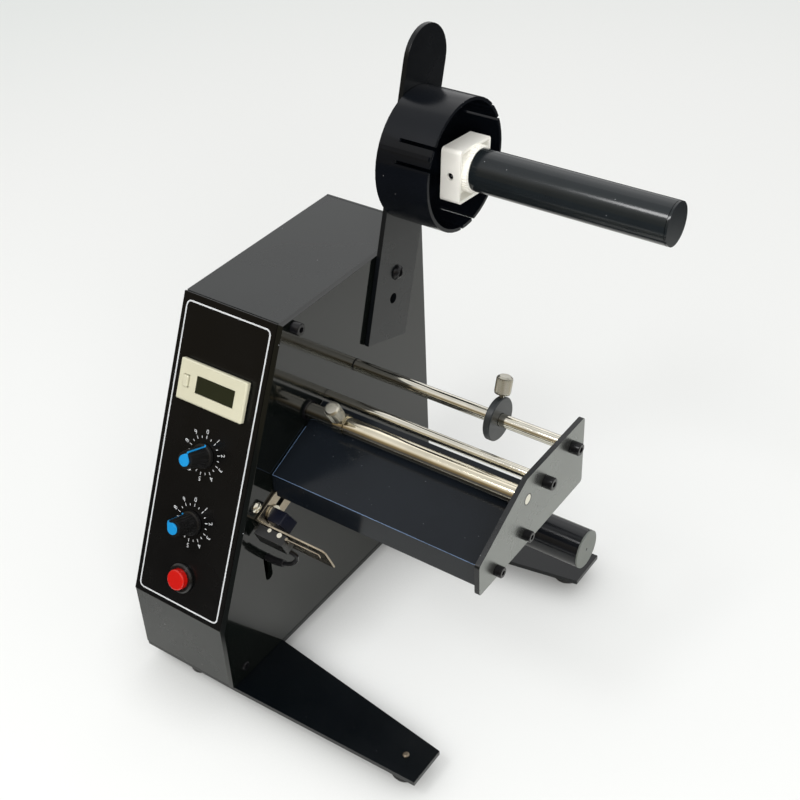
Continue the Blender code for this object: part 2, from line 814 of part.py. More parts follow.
def build_counter():
    place = (panel_centre_x, -counter_drop, 0)
    bezel = box("counter_case", (counter_width, counter_height, counter_bezel), cream_plastic,
                parent=panel, location=(place[0], place[1], gap + counter_bezel / 2))
    soften(bezel, counter_edge)
    body_depth = counter_depth + counter_bezel / 2
    body = box("counter_body", (counter_width - 2 * counter_bezel_lip,
                                counter_height - 2 * counter_bezel_lip, body_depth), None,
               parent=panel,
               location=(place[0], place[1], gap + counter_bezel / 2 - body_depth / 2))
    face = gap + counter_bezel
    window_x = place[0] + window_from_centre
    recess = box("window_recess", (window_width + 2 * gap, window_height + 2 * gap,
                                   window_recess + overrun), None, parent=panel,
                 location=(window_x, place[1], face + (overrun - window_recess) / 2))
    reset_x = place[0] - reset_from_centre
    well_depth = reset_stem + gap
    well = box("reset_well", (reset_width + 2 * gap, reset_height + 2 * gap,
                              well_depth + overrun), None, parent=panel,
               location=(reset_x, place[1], face + (overrun - well_depth) / 2))
    join(bezel, body)
    cut(bezel, recess, well)
    box("counter_window", (window_width, window_height, window_thickness), dark_glass,
        parent=panel,
        location=(window_x, place[1], face - window_recess + gap + window_thickness / 2))
    button_height = reset_stem - reset_travel + reset_proud
    button = box("counter_reset_button", (reset_width, reset_height, button_height),
                 cream_plastic, parent=panel,
                 location=(reset_x, place[1],
                           face - reset_stem + reset_travel + button_height / 2))
    soften(button, reset_edge)


def build_pot(name, drop):
    """Panel pot behind a knob, with the socket that the knob's shaft turns in."""
    back = -panel_thickness - pot_body_depth
    socket = -panel_thickness - pot_body_depth / 2
    bore = pot_shaft_radius + gap
    turned(name + "_pot", [
        (pot_bush_radius, pot_bush_height), (pot_bush_radius, -panel_thickness - gap),
        (pot_body_radius, -panel_thickness - gap), (pot_body_radius, back),
        (0, back), (0, socket), (bore, socket), (bore, pot_bush_height),
    ], steel, ring=True, segments=coarse, parent=panel, location=(panel_centre_x, -drop, 0))
    return socket


def build_knob(name, drop, turn):
    """Fluted pointer knob on a panel pot; local z is the shaft, pointing out of the panel."""
    socket = build_pot(name, drop)
    axis = empty(name + "_axis", (0, 0, 0), (0, 0, -radians(turn)))
    axis.parent = panel
    axis.location = (panel_centre_x, -drop, 0)
    base = 2 * gap
    bm = bmesh.new()
    bmesh.ops.create_cone(bm, cap_ends=True, segments=2 * knob_flutes, radius1=knob_base_radius,
                          radius2=knob_top_radius, depth=knob_height - base,
                          matrix=Matrix.Translation((0, 0, (knob_height + base) / 2)))
    flute(bm, knob_flutes, 1 - knob_flute_depth / knob_base_radius)
    knob = add(name, mesh_from(bm, name), black_plastic, parent=axis)
    skirt = turned(name + "_skirt", [
        (0, base + knob_skirt_height + gap), (knob_base_radius, base + knob_skirt_height + gap),
        (knob_skirt_radius - gap, base + knob_skirt_height), (knob_skirt_radius, base),
        (0, base),
    ], None, segments=medium, parent=axis)
    hollow_top = pot_bush_height + gap
    hollow = rods(name + "_hollow", [(0, 0, pot_bush_radius + 2 * gap)], hollow_top + overrun,
                  parent=axis, location=(0, 0, (hollow_top - overrun) / 2), segments=coarse)
    low = socket + gap
    high = hollow_top + gap
    shaft = rods(name + "_shaft", [(0, 0, pot_shaft_radius)], high - low,
                 parent=axis, location=(0, 0, (low + high) / 2), segments=coarse)
    join(knob, skirt)
    cut(knob, hollow)
    join(knob, shaft)
    build_knob_cap(name + "_cap", axis)


def build_knob_cap(name, axis, arc_steps=18):
    """Drop-shaped inlay on the knob's top, its nose to the number that the knob points at."""
    nose = radians(knob_nose_angle)
    start = pi / 2 + nose
    sweep = 2 * pi - 2 * nose
    cap = [(knob_cap_radius * cos(start + sweep * i / arc_steps),
            knob_cap_radius * sin(start + sweep * i / arc_steps)) for i in range(arc_steps + 1)]
    cap.append((0, knob_cap_nose))
    cap_scale = min(1, (knob_top_radius - gap) / knob_cap_nose)
    cap = [(x * cap_scale, y * cap_scale) for x, y in cap]
    plate(name, cap, knob_cap_height, blue_plastic, parent=axis,
          location=(0, 0, knob_height + gap + knob_cap_height / 2))


def build_push_button():
    place = (panel_centre_x, -button_drop, 0)
    bore = button_radius + gap
    floor = -panel_thickness - button_body_depth / 2
    turned("button_bezel", [
        (bore, bezel_height), (bezel_radius - bezel_lip, bezel_height),
        (bezel_radius, bezel_height - bezel_lip), (bezel_radius, gap),
        (button_barrel_radius, gap), (button_barrel_radius, -panel_thickness - button_body_depth),
        (0, -panel_thickness - button_body_depth), (0, floor), (bore, floor),
    ], black_plastic, ring=True, segments=medium, parent=panel, location=place)
    low = floor + gap + button_travel
    edge = button_edge
    turned("start_button", [
        (0, button_proud), (button_radius - edge, button_proud),
        (button_radius, button_proud - edge), (button_radius, low), (0, low),
    ], red_plastic, segments=medium, parent=panel, location=place)


def build_board():
    x = cover_left + sheet + 2 * gap + board_pillar_height + board_thickness / 2
    board = box("control_board", (board_thickness, board_length, board_height), board_green,
                location=(x, board_front + board_length / 2, board_bottom + board_height / 2))
    for i, (sy, sz) in enumerate(((-1, -1), (1, -1), (1, 1), (-1, 1))):
        y = board_front + board_length / 2 + sy * (board_length / 2 - board_pillar_inset)
        z = board_bottom + board_height / 2 + sz * (board_height / 2 - board_pillar_inset)
        long = board_pillar_height + gap + board_thickness / 2
        pillar = rods("board_pillar_%d" % i, [(0, 0, board_pillar_radius)], long,
                      location=(x - long / 2, y, z), rotation=along_x, segments=6)
        join(board, pillar)
    on_board = (
        ("relay", relay_height, relay_place_shares),
        ("capacitor", capacitor_height, capacitor_place_shares),
        ("terminals", terminals_height, terminals_place_shares),
    )
    size = board_part_size_share
    for name, tall, (along, up) in on_board:
        part = box("board_" + name, (tall + board_thickness / 2, board_length * size,
                                     board_height * size), None,
                   location=(x + tall / 2, board_front + board_length * along,
                             board_bottom + board_height * up))
        join(board, part)


def build_drive():
    bore = drive_shaft_radius + gap
    barrel = drive_shaft_radius + bush_wall
    inner_end = -side_plate_thickness - gap
    turned("spindle_bush", [
        (bore, gap + bush_flange), (bush_flange_radius, gap + bush_flange),
        (bush_flange_radius, gap), (barrel, gap), (barrel, inner_end), (bore, inner_end),
    ], brass, ring=True, segments=coarse, location=at_x(0, spindle_centre), rotation=along_x)
    bracket_x = inner_end - gap - bracket_thickness / 2
    low = gap
    high = spindle_height + bracket_above_axis
    bracket = box("motor_bracket", (bracket_thickness, bracket_width, high - low), steel,
                  location=(bracket_x, spindle_centre[0], (low + high) / 2))
    foot = box("bracket_foot", (bracket_foot, bracket_width, bracket_thickness), None,
               location=(bracket_x - bracket_foot / 2, spindle_centre[0],
                         low + bracket_thickness / 2))
    hole = rods("bracket_hole", [(0, 0, motor_boss_radius + gap)],
                bracket_thickness + 2 * overrun, location=at_x(bracket_x, spindle_centre),
                rotation=along_x, segments=coarse)
    join(bracket, foot)
    cut(bracket, hole)
    face = bracket_x - bracket_thickness / 2 - gap
    back = cover_left + sheet + motor_clearance
    boss = bracket_x + bracket_thickness / 2
    socket = face - gearbox_length * shaft_socket_share
    turned("gear_motor", [
        (bore, boss), (motor_boss_radius, boss), (motor_boss_radius, face),
        (gearbox_radius, face), (gearbox_radius, face - gearbox_length),
        (motor_radius, face - gearbox_length), (motor_radius, back), (0, back),
        (0, socket), (bore, socket),
    ], steel, ring=True, segments=medium, location=at_x(0, spindle_centre), rotation=along_x)
    build_spindle(socket + gap)


def build_spindle(shaft_start):
    start = gap + bush_flange + gap
    end = spindle_end - spindle_cap_thickness - gap
    spindle = turned("rewind_spindle", [
        (0, end), (spindle_radius, end), (spindle_radius, start), (drive_shaft_radius, start),
        (drive_shaft_radius, shaft_start), (0, shaft_start),
    ], satin_black, segments=fine, parent=spindle_axis, rotation=along_x)
    slot_top = spindle_radius + overrun
    slot_low = spindle_radius - spindle_slot_depth
    slot = box("spindle_slot", (end - start + 2 * overrun, spindle_slot_width,
                                slot_top - slot_low), None, parent=spindle_slot_frame,
               location=((start + end) / 2, 0, -(slot_top + slot_low) / 2))
    cut(spindle, slot)
    box("liner_clip", (end - start - 2 * gap, clip_thickness, clip_height), nickel,
        parent=spindle_slot_frame,
        location=((start + end) / 2, -(spindle_slot_width / 2 - gap - clip_thickness / 2),
                  -(slot_low + gap + clip_height / 2)))
    turned("spindle_cap", [
        (0, spindle_end), (spindle_radius, spindle_end),
        (spindle_radius, spindle_end - spindle_cap_thickness),
        (0, spindle_end - spindle_cap_thickness),
    ], grey_plastic, segments=medium, parent=spindle_axis, rotation=along_x)


def build_arm():
    side = Vector((arm_up.y, -arm_up.x))
    half = arm_width / 2
    crown = arm_foot + arm_up * (arm_length - half)
    steps = 18
    outline = [arm_foot - side * half, arm_foot + side * half]
    outline += [crown + side * (half * cos(pi * i / steps)) + arm_up * (half * sin(pi * i / steps))
                for i in range(steps + 1)]
    arm = plate("reel_arm", outline, arm_thickness, satin_black,
                location=(gap + arm_thickness / 2, 0, 0), rotation=facing_x)
    screw = arm_foot + arm_up * arm_screw_along
    opening = arm_foot + arm_up * arm_hole_along
    holes = rods("arm_holes", [
        (*screw, arm_screw_radius + gap),
        (*opening, arm_hole_radius),
        (*hub_centre, axle_radius + gap),
    ], arm_thickness + 2 * overrun, location=(gap + arm_thickness / 2, 0, 0),
        rotation=facing_x, segments=coarse)
    cut(arm, holes)
    seat = at_x(arm_thickness + 2 * gap, screw)
    reach = arm_thickness + gap + side_plate_thickness + screw_beyond_plate
    head = turned("arm_screw", dome_profile(arm_screw_head, arm_screw_head_height,
                                            arm_screw_radius, reach), black_steel,
                  segments=medium, location=seat, rotation=along_x)
    cut(head, hex_socket("arm_screw_socket", arm_screw_head, arm_screw_head_height / 2,
                         arm_screw_head_height, location=seat, rotation=along_x))


def radial_boxes(name, turns, size, radius, x):
    """Cutter of boxes round the reel axis; turns are degrees from the front (-Y) upwards."""
    bm = bmesh.new()
    for turn in turns:
        spin = Matrix.Rotation(pi / 2 - radians(turn), 4, "X")
        move = Matrix.Translation((x, 0, radius))
        bmesh.ops.create_cube(bm, size=1, matrix=spin @ move @ Matrix.Diagonal((*size, 1)))
    return add(name, mesh_from(bm, name), None, parent=reel_axis)


def build_reel():
    start = arm_thickness + 2 * gap
    block_start = drum_front - block_sunk
    bore = axle_radius + gap
    drum = turned("reel_drum", [
        (drum_radius, drum_front), (drum_radius, start), (bore, start),
        (bore, block_start - gap), (drum_boss_radius, block_start - gap),
        (drum_boss_radius, start + drum_web), (drum_radius - drum_wall, start + drum_web),
        (drum_radius - drum_wall, drum_front),
    ], black_plastic, segments=fine, ring=True, parent=reel_axis, rotation=along_x)
    turns = [finger_first_turn + 360 / finger_count * i for i in range(finger_count)]
    edges = [turn + side * finger_half_angle for turn in turns for side in (-1, 1)]
    ridge_length = drum_width - slit_width
    ridge = radial_boxes("drum_ridges", turns,
                         (ridge_length, ridge_width, ridge_height + drum_wall / 2),
                         drum_radius + ridge_height / 2 - drum_wall / 4,
                         drum_front - drum_width / 2)
    slit = radial_boxes("drum_slits", edges,
                        (slit_length + overrun, slit_width, drum_wall + 2 * overrun),
                        drum_radius, drum_front + (overrun - slit_length) / 2)
    join(drum, ridge)
    cut(drum, slit)
    build_hub_block(block_start)
    tube_start = block_start + block_depth + block_boss_height + gap
    build_tube(tube_start)
    turned("reel_axle", [
        (0, block_start + block_depth), (axle_radius, block_start + block_depth),
        (axle_radius, 0), (axle_nut_radius, 0),
        (axle_nut_radius, -axle_nut_height), (0, -axle_nut_height),
    ], steel, segments=coarse, location=at_x(0, hub_centre), rotation=along_x)


def build_hub_block(block_start):
    """Square clamp block, a little low and aslant on the axle, with a round plug for the tube."""
    block_frame = empty("block_frame", (0, 0, -block_drop), (radians(block_lean), 0, 0))
    block_frame.parent = reel_axis
    half = block_size / 2
    corners = [(-half, -half), (half, -half), (half, half), (-half, half)]
    front = block_start + block_depth
    middle = block_start + block_depth / 2
    block = plate("hub_block", rounded(corners, block_corner), block_depth, white_plastic,
                  parent=block_frame, location=(middle, 0, 0), rotation=facing_x)
    inner = block_size - 2 * block_wall
    deep = block_pocket_depth + overrun
    pocket_x = front - block_pocket_depth + deep / 2
    pocket = box("block_pocket", (deep, inner, inner), None, parent=block_frame,
                 location=(pocket_x, 0, 0))
    core = rods("block_core", [(0, 0, block_boss_radius)], deep + 2 * overrun,
                parent=reel_axis, location=(pocket_x, 0, 0), rotation=along_x)
    post = rods("block_post", [(0, 0, block_post_radius)], half + overrun, parent=block_frame,
                location=(middle, -(half + overrun) / 2, 0), rotation=(pi / 2, 0, 0))
    cut(pocket, core, post)
    plug_radius = tube_radius - tube_wall - gap
    plug_end = front + block_boss_height + block_plug_length
    flange_radius = block_boss_radius - block_boss_step
    boss = turned("block_boss", [
        (0, plug_end), (plug_radius, plug_end), (plug_radius, front + block_boss_height),
        (flange_radius - block_boss_step, front + block_boss_height),
        (flange_radius, front + block_boss_height - block_boss_step),
        (flange_radius, front - block_wall), (0, front - block_wall),
    ], None, segments=medium, parent=reel_axis, rotation=along_x)
    bore = rods("block_bore", [(0, 0, axle_radius + gap)], block_depth + gap + overrun,
                parent=reel_axis, rotation=along_x, segments=coarse,
                location=(front + gap - (block_depth + gap + overrun) / 2, 0, 0))
    set_hole = rods("block_set_hole", [(0, 0, block_set_hole)], half + overrun,
                    parent=block_frame, segments=coarse, rotation=(pi / 2, 0, 0),
                    location=(middle, -(half + overrun) / 2, 0))
    cut(block, pocket)
    join(block, boss)
    cut(block, bore, set_hole)


def build_tube(start):
    end = start + tube_length
    inner = tube_radius - tube_wall
    turned("reel_tube", [
        (tube_radius, end), (tube_radius, start), (inner, start), (inner, end),
    ], black_plastic, segments=fine, ring=True, parent=reel_axis, rotation=along_x)
    turned("reel_tube_cap", [
        (0, end + gap + tube_cap_thickness), (tube_radius, end + gap + tube_cap_thickness),
        (tube_radius, end + gap), (inner - gap, end + gap), (inner - gap, end - tube_cap_plug),
        (0, end - tube_cap_plug),
    ], black_plastic, segments=medium, parent=reel_axis, rotation=along_x)


def build_rod(name, centre, radius):
    """Plain rod between the plates, held by a spigot at one end and a screw at the other."""
    end = plate_spacing - gap
    bore = rod_screw_radius + gap
    spigot = radius * rod_spigot_share
    bottom = plate_spacing - rod_screw_reach
    turned(name, [
        (bore, end), (radius, end), (radius, gap), (spigot, gap), (spigot, -side_plate_thickness),
        (0, -side_plate_thickness), (0, bottom), (bore, bottom),
    ], nickel, segments=medium, ring=True, location=at_x(0, centre), rotation=along_x)
    face = plate_spacing + outer_plate_thickness + gap
    cap_screw(name + "_screw", rod_screw_head, rod_screw_head_height, rod_screw_radius,
              outer_plate_thickness + rod_screw_reach, black_steel,
              location=at_x(face, centre), rotation=along_x)


def build_roller():
    near = plate_spacing - gap
    outer_face = plate_spacing + outer_plate_thickness
    spigot = roller_axle_radius * axle_spigot_share
    collar_end = collar_from_plate + collar_width
    turned("roller_axle", [
        (0, outer_face), (spigot, outer_face), (spigot, near), (roller_axle_radius, near),
        (roller_axle_radius, collar_end), (axle_shoulder_radius, collar_end),
        (axle_shoulder_radius, gap), (spigot, gap), (spigot, -side_plate_thickness),
        (0, -side_plate_thickness),
    ], nickel, segments=medium, location=at_x(0, roller_centre), rotation=along_x)
    wide_bore = axle_shoulder_radius + gap
    turned("axle_ring", [
        (axle_ring_radius, gap + axle_ring_width), (axle_ring_radius, gap), (wide_bore, gap),
        (wide_bore, gap + axle_ring_width),
    ], black_steel, segments=medium, ring=True, location=at_x(0, roller_centre),
        rotation=along_x)
    bore = roller_axle_radius + gap
    turned("front_roller", [
        (roller_radius, near), (roller_radius, collar_end + gap), (bore, collar_end + gap),
        (bore, near),
    ], nickel, segments=medium, ring=True, parent=roller_frame, rotation=along_x)
    collar = turned("roller_collar", [
        (collar_radius, collar_end), (collar_radius, collar_from_plate),
        (wide_bore, collar_from_plate), (wide_bore, collar_end),
    ], nickel, segments=medium, ring=True, parent=roller_frame, rotation=along_x)
    seat = collar_radius - axle_shoulder_radius - 2 * gap
    build_thumbscrew("collar_thumbscrew", collar, roller_frame, collar_from_plate + collar_width / 2,
                     collar_radius, seat, seat + gap + overrun / 2, collar_thumb_tilt)


def build_disc():
    bore = guide_rod_radius + gap
    edge = disc_edge_radius
    end = disc_from_plate + disc_width
    disc = turned("guide_disc", [
        (disc_radius - edge, end), (disc_radius, end - edge), (disc_radius, disc_from_plate + edge),
        (disc_radius - edge, disc_from_plate), (bore, disc_from_plate), (bore, end),
    ], black_plastic, segments=fine, ring=True, parent=disc_frame, rotation=along_x)
    build_thumbscrew("disc_thumbscrew", disc, disc_frame, disc_from_plate + disc_width / 2,
                     disc_radius, thumb_stem_seat, thumb_stem_seat + gap, disc_thumb_tilt)


def build_thumbscrew(name, carrier, frame, x, rim, seat, hole_depth, tilt):
    """Knurled screw standing radially on a round carrier, in a hole cut for its stem."""
    axis = empty(name + "_axis", (x, 0, 0), (-radians(tilt), 0, 0))
    axis.parent = frame
    bottom = rim + thumb_stem_show
    straight = thumb_height - thumb_crown
    bm = bmesh.new()
    bmesh.ops.create_cone(bm, cap_ends=True, segments=2 * thumb_flutes, radius1=thumb_radius,
                          radius2=thumb_radius, depth=straight,
                          matrix=Matrix.Translation((0, 0, bottom + straight / 2)))
    flute(bm, thumb_flutes, 1 - thumb_flute_depth / thumb_radius)
    screw = add(name, mesh_from(bm, name), nickel, parent=axis)
    shoulder = thumb_radius - thumb_flute_depth
    crown = turned(name + "_crown", [
        (0, bottom + thumb_height), (shoulder - thumb_crown, bottom + thumb_height),
        (shoulder, bottom + straight), (shoulder, bottom + straight - thumb_crown),
        (0, bottom + straight - thumb_crown),
    ], None, segments=medium, parent=axis)
    low = rim - seat
    high = bottom + thumb_height / 2
    stem = rods(name + "_stem", [(0, 0, thumb_stem_radius)], high - low, parent=axis,
                location=(0, 0, (low + high) / 2), segments=coarse)
    join(screw, crown, stem)
    floor = rim - hole_depth
    hole = rods(name + "_hole", [(0, 0, thumb_stem_radius + gap)], rim + overrun - floor,
                parent=axis, location=(0, 0, (rim + overrun + floor) / 2), segments=coarse)
    cut(carrier, hole)


def shelf_screw_places():
    front = shelf_front + Vector((shelf_screw_front_back, -shelf_screw_front_drop))
    rear = shelf_front + Vector((shelf_screw_rear_back, -shelf_screw_rear_drop))
    return {"front": front, "rear": rear}


def build_outer_plate():
    rear = guide_rod_centre.x + plate_rear_margin
    top = guide_rod_centre.y + plate_top_margin
    front = shelf_front.x - plate_front_margin
    low = shelf_front.y - plate_below_shelf
    outline = [(rear, low), (rear, top), (roller_centre.x - plate_kink_ahead, top),
               (front, shelf_front.y + plate_nose_rise), (front, low)]
    middle = plate_spacing + outer_plate_thickness / 2
    outer = plate("outer_plate", rounded(outline, plate_corner_radius), outer_plate_thickness,
                  gloss_black, location=(middle, 0, 0), rotation=facing_x)
    spigot = roller_axle_radius * axle_spigot_share
    holes = rods("outer_plate_holes", [
        (*guide_rod_centre, rod_screw_radius + gap),
        (*tie_rod_centre, rod_screw_radius + gap),
        (*roller_centre, spigot + gap),
        *((*place, shelf_screw_radius + gap) for place in shelf_screw_places().values()),
    ], outer_plate_thickness + 2 * overrun, location=(middle, 0, 0), rotation=facing_x,
        segments=coarse)
    cut(outer, holes)


def build_shelf():
    low = shelf_front.y - flange_height
    sheet_run = shelf_sheet * (1 - shelf_run.y) / shelf_run.x
    under = shelf_up * shelf_sheet
    section = [
        shelf_front,
        shelf_front + shelf_run * shelf_length,
        shelf_front + shelf_run * shelf_length - under,
        shelf_front + shelf_run * sheet_run - under,
        (shelf_front.x + shelf_sheet, low),
        (shelf_front.x, low),
    ]
    left = shelf_end_gap
    right = plate_spacing - gap
    shelf = plate("peel_shelf", section, right - left, satin_black,
                  location=((left + right) / 2, 0, 0), rotation=facing_x)
    near = shelf_front + shelf_run * shelf_sheet - under / 2
    far = shelf_front + shelf_run * tab_length - under / 2
    down = shelf_up * left_tab_depth
    left_tab = plate("left_tab", [near, far, far - down, near - down], shelf_sheet, None,
                     location=(left + shelf_sheet / 2, 0, 0), rotation=facing_x)
    tab_low = shelf_front.y - right_tab_drop
    right_tab = plate("right_tab", [near, far, (far.x, tab_low),
                                    (shelf_front.x + shelf_sheet / 2, tab_low)],
                      shelf_sheet, None, location=(right - shelf_sheet / 2, 0, 0),
                      rotation=facing_x)
    join(shelf, left_tab, right_tab)
    places = shelf_screw_places()
    holes = rods("shelf_tab_holes", [(*place, shelf_screw_radius + gap)
                                     for place in places.values()],
                 2 * overrun, location=(right - shelf_sheet / 2, 0, 0), rotation=facing_x,
                 segments=coarse)
    notch_height = strip_top_at_flange + 2 * gap - low
    notch = box("strip_notch", (2 * strip_notch_width, 2 * overrun, 2 * notch_height),
                None, location=(left, shelf_front.x, low))
    cut(shelf, holes, notch)
    face = plate_spacing + outer_plate_thickness + gap
    reach = outer_plate_thickness + 2 * gap + shelf_sheet + screw_beyond_tab
    for name, place in places.items():
        cap_screw("shelf_screw_" + name, shelf_screw_head, shelf_screw_head_height,
                  shelf_screw_radius, reach, black_steel, location=at_x(face, place),
                  rotation=along_x)


def build_sensor_bracket():
    strip_corners = [(0, 0), (strip_length, 0), (strip_length, -strip_width), (0, -strip_width)]
    middle_x = gap + strip_thickness / 2
    strip = plate("sensor_bracket", strip_corners, strip_thickness, nickel, parent=sensor_frame,
                  location=(middle_x, 0, 0), rotation=facing_x)
    high = (strip_slot_width - strip_width) / 2
    low = high - strip_slot_width
    slot_corners = [(strip_slot_start, high), (strip_slot_end, high),
                    (strip_slot_end, low), (strip_slot_start, low)]
    slot = plate("strip_slot", rounded(slot_corners, strip_slot_width * slot_round_share),
                 strip_thickness + 2 * overrun, None, parent=sensor_frame,
                 location=(middle_x, 0, 0), rotation=facing_x)
    ear_outline = [(gap, 0), (ear_reach - ear_chamfer, 0), (ear_reach, -ear_chamfer),
                   (ear_reach, -strip_width), (gap, -strip_width)]
    ear = plate("sensor_ear", ear_outline, strip_thickness, None, parent=ear_frame,
                location=(0, strip_thickness / 2, 0), rotation=(pi / 2, 0, 0))
    cut(strip, slot)
    join(strip, ear)


def build_switch():
    top = -switch_from_edge
    body = box("limit_switch", (switch_length, switch_depth, switch_height), black_plastic,
               parent=ear_frame,
               location=(switch_from_plate + switch_length / 2, -gap - switch_depth / 2,
                         top - switch_height / 2))
    long = lever_width + gap + overrun
    seat = rods("lever_seat", [(0, 0, lever_knuckle_radius + gap)], long, parent=lever_axis,
                location=(0, 0, (overrun - gap - lever_width) / 2), segments=coarse)
    cut(body, seat)
    lever = box("switch_lever", (lever_length, lever_thickness, lever_width), nickel,
                parent=lever_axis, location=(lever_length / 2, 0, -lever_width / 2))
    knuckle = rods("lever_knuckle", [(0, 0, lever_knuckle_radius)], lever_width,
                   parent=lever_axis, location=(0, 0, -lever_width / 2), segments=coarse)
    join(lever, knuckle)


def build_clamp():
    """Wedge-shaped clamp knob on a round washer, its stud through the strip's slot."""
    start = 2 * gap + strip_thickness
    washer_top = start + clamp_washer_thickness
    inside = washer_top - clamp_washer_thickness / 2
    end = washer_top + clamp_block_length
    back = -side_plate_thickness - screw_beyond_plate
    knob = turned("clamp_knob", [
        (0, washer_top), (clamp_washer_radius, washer_top), (clamp_washer_radius, start),
        (clamp_stud_radius, start), (clamp_stud_radius, back), (0, back),
    ], black_plastic, segments=medium, location=at_x(0, clamp_centre), rotation=along_x)
    wedge = plate("clamp_wedge", [
        (inside, -clamp_block_below), (end, -clamp_block_below),
        (end - clamp_block_slant, clamp_block_above), (inside, clamp_block_above),
    ], clamp_block_width, None, location=at_x(0, clamp_centre - clamp_block_shift * strip_run),
        rotation=(pi / 2 + radians(strip_slope), 0, 0))
    soften(wedge, clamp_edge)
    join(knob, wedge)


def spline_point(points, at):
    """Catmull-Rom point through the given points; at runs from 0 to len(points) - 1."""
    i = min(int(at), len(points) - 2)
    t = at - i
    before = points[i - 1] if i else 2 * points[0] - points[1]
    after = points[i + 2] if i + 2 < len(points) else 2 * points[-1] - points[-2]
    start, end = points[i], points[i + 1]
    return 0.5 * (2 * start + (end - before) * t
                  + (2 * before - 5 * start + 4 * end - after) * t ** 2
                  + (3 * start - before - 3 * end + after) * t ** 3)


def lead_path():
    """Fine points of the sensor lead: down from the switch, round a bend and into the box."""
    x = switch_from_plate + switch_length - cable_leaves_switch_at
    low = -switch_from_edge - switch_height - gap
    tilt = Matrix.Rotation(radians(strip_slope), 4, "X")
    tilt = tilt @ Matrix.Rotation(-radians(ear_toe_in), 4, "Z")
    corner = Vector((0, strip_corner_y, strip_corner_z))
    leave = corner + tilt @ Vector((x, -gap - switch_depth / 2, low))
    below = corner + tilt @ Vector((x, -gap - switch_depth / 2, low - 2 * cable_radius))
    outside = [Vector(point) * mm for point in lead_route]
    slot_top = Vector((0, cable_slot_y, cable_slot_z + cable_slot_length / 2 - sleeve_radius))
    inside = slot_top - Vector((cable_inside, 0, cable_sag))
    half_way = slot_top - Vector((cable_inside / 2, 0, cable_sag / 4))
    route = [leave, below, *outside, slot_top, half_way, inside]
    steps = 12 * (len(route) - 1)
    return [spline_point(route, i * (len(route) - 1) / steps) for i in range(steps + 1)]


def lead_stations(points, lengths):
    """(distance, radius) stations along the lead, with a thicker sleeve near the plate."""
    plate_at = next(l for p, l in zip(points, lengths) if p.x < sleeve_from_plate)
    sleeve = (plate_at - sleeve_length, plate_at)
    count = round(lengths[-1] / (lead_step * 2 * cable_radius))
    places = [lengths[-1] * i / count for i in range(count + 1)]
    stations = [(s, sleeve_radius if sleeve[0] < s < sleeve[1] else cable_radius)
                for s in places if min(abs(s - end) for end in sleeve) > gap]
    stations += [(sleeve[0] - sleeve_step, cable_radius), (sleeve[0] + sleeve_step, sleeve_radius),
                 (sleeve[1] - sleeve_step, sleeve_radius), (sleeve[1] + sleeve_step, cable_radius)]
    return sorted(stations)


def build_lead():
    points = lead_path()
    lengths = [0]
    for a, b in zip(points, points[1:]):
        lengths.append(lengths[-1] + (b - a).length)
    stations = lead_stations(points, lengths)
    curve = bpy.data.curves.new("sensor_cable", "CURVE")
    curve.dimensions = "3D"
    curve.bevel_depth = cable_radius
    curve.bevel_resolution = 2
    curve.use_fill_caps = True
    spline = curve.splines.new("POLY")
    spline.points.add(len(stations) - 1)
    for point, (s, radius) in zip(spline.points, stations):
        i = max(1, next((k for k, l in enumerate(lengths) if l >= s - weld), len(lengths) - 1))
        share = (s - lengths[i - 1]) / (lengths[i] - lengths[i - 1])
        point.co = (*points[i - 1].lerp(points[i], share), 1)
        point.radius = radius / cable_radius
    curve.materials.append(rubber)
    lead = bpy.data.objects.new("sensor_cable", curve)
    parts.objects.link(lead)
    lead.parent = root


def centre_model():
    """Put the bottom centre of everything that was built at the origin."""
    bpy.context.view_layer.update()
    graph = bpy.context.evaluated_depsgraph_get()
    corners = []
    for item in parts.objects:
        if item.type != "EMPTY":
            shape = item.evaluated_get(graph)
            corners += [shape.matrix_world @ vertex.co for vertex in shape.to_mesh().vertices]
            shape.to_mesh_clear()
    low = [min(corner[i] for corner in corners) for i in range(3)]
    high = [max(corner[i] for corner in corners) for i in range(3)]
    root.location = (-(low[0] + high[0]) / 2, -(low[1] + high[1]) / 2, -low[2])


panel_tilt = pi / 2 - slope_vector.angle(Vector((0, 0, 1)))
panel = empty("panel_frame", (0, slope_run, box_height), (panel_tilt, 0, 0))
spindle_axis = empty("spindle_axis", at_x(0, spindle_centre))
spindle_slot_frame = empty("spindle_slot_frame", (0, 0, 0), (-radians(spindle_slot_turn), 0, 0))
spindle_slot_frame.parent = spindle_axis
reel_axis = empty("reel_axis", at_x(0, hub_centre))
roller_frame = empty("roller_frame", at_x(0, roller_centre))
disc_frame = empty("disc_frame", at_x(0, guide_rod_centre))
sensor_frame = empty("sensor_frame", at_x(0, strip_corner), (radians(strip_slope), 0, 0))
ear_frame = empty("ear_frame", (0, 0, 0), (0, 0, -radians(ear_toe_in)))
ear_frame.parent = sensor_frame
lever_axis = empty("lever_axis", (switch_from_plate + switch_length, -lever_from_ear,
                                  -switch_from_edge + gap))
lever_axis.parent = ear_frame

build_base()
build_side_plate()
build_side_screws()
build_cover()
build_rear_cover()
build_front_panel()
build_counter()
build_knob("upper_knob", upper_knob_drop, upper_knob_turn)
build_knob("lower_knob", lower_knob_drop, lower_knob_turn)
build_push_button()
build_board()
build_drive()
build_arm()
build_reel()
build_rod("guide_rod", guide_rod_centre, guide_rod_radius)
build_rod("tie_rod", tie_rod_centre, tie_rod_radius)
build_roller()
build_disc()
build_outer_plate()
build_shelf()
build_sensor_bracket()
build_switch()
build_clamp()
build_lead()
centre_model()
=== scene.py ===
from math import cos, pi, radians, sin

import bmesh
import bpy
from mathutils import Matrix, Vector


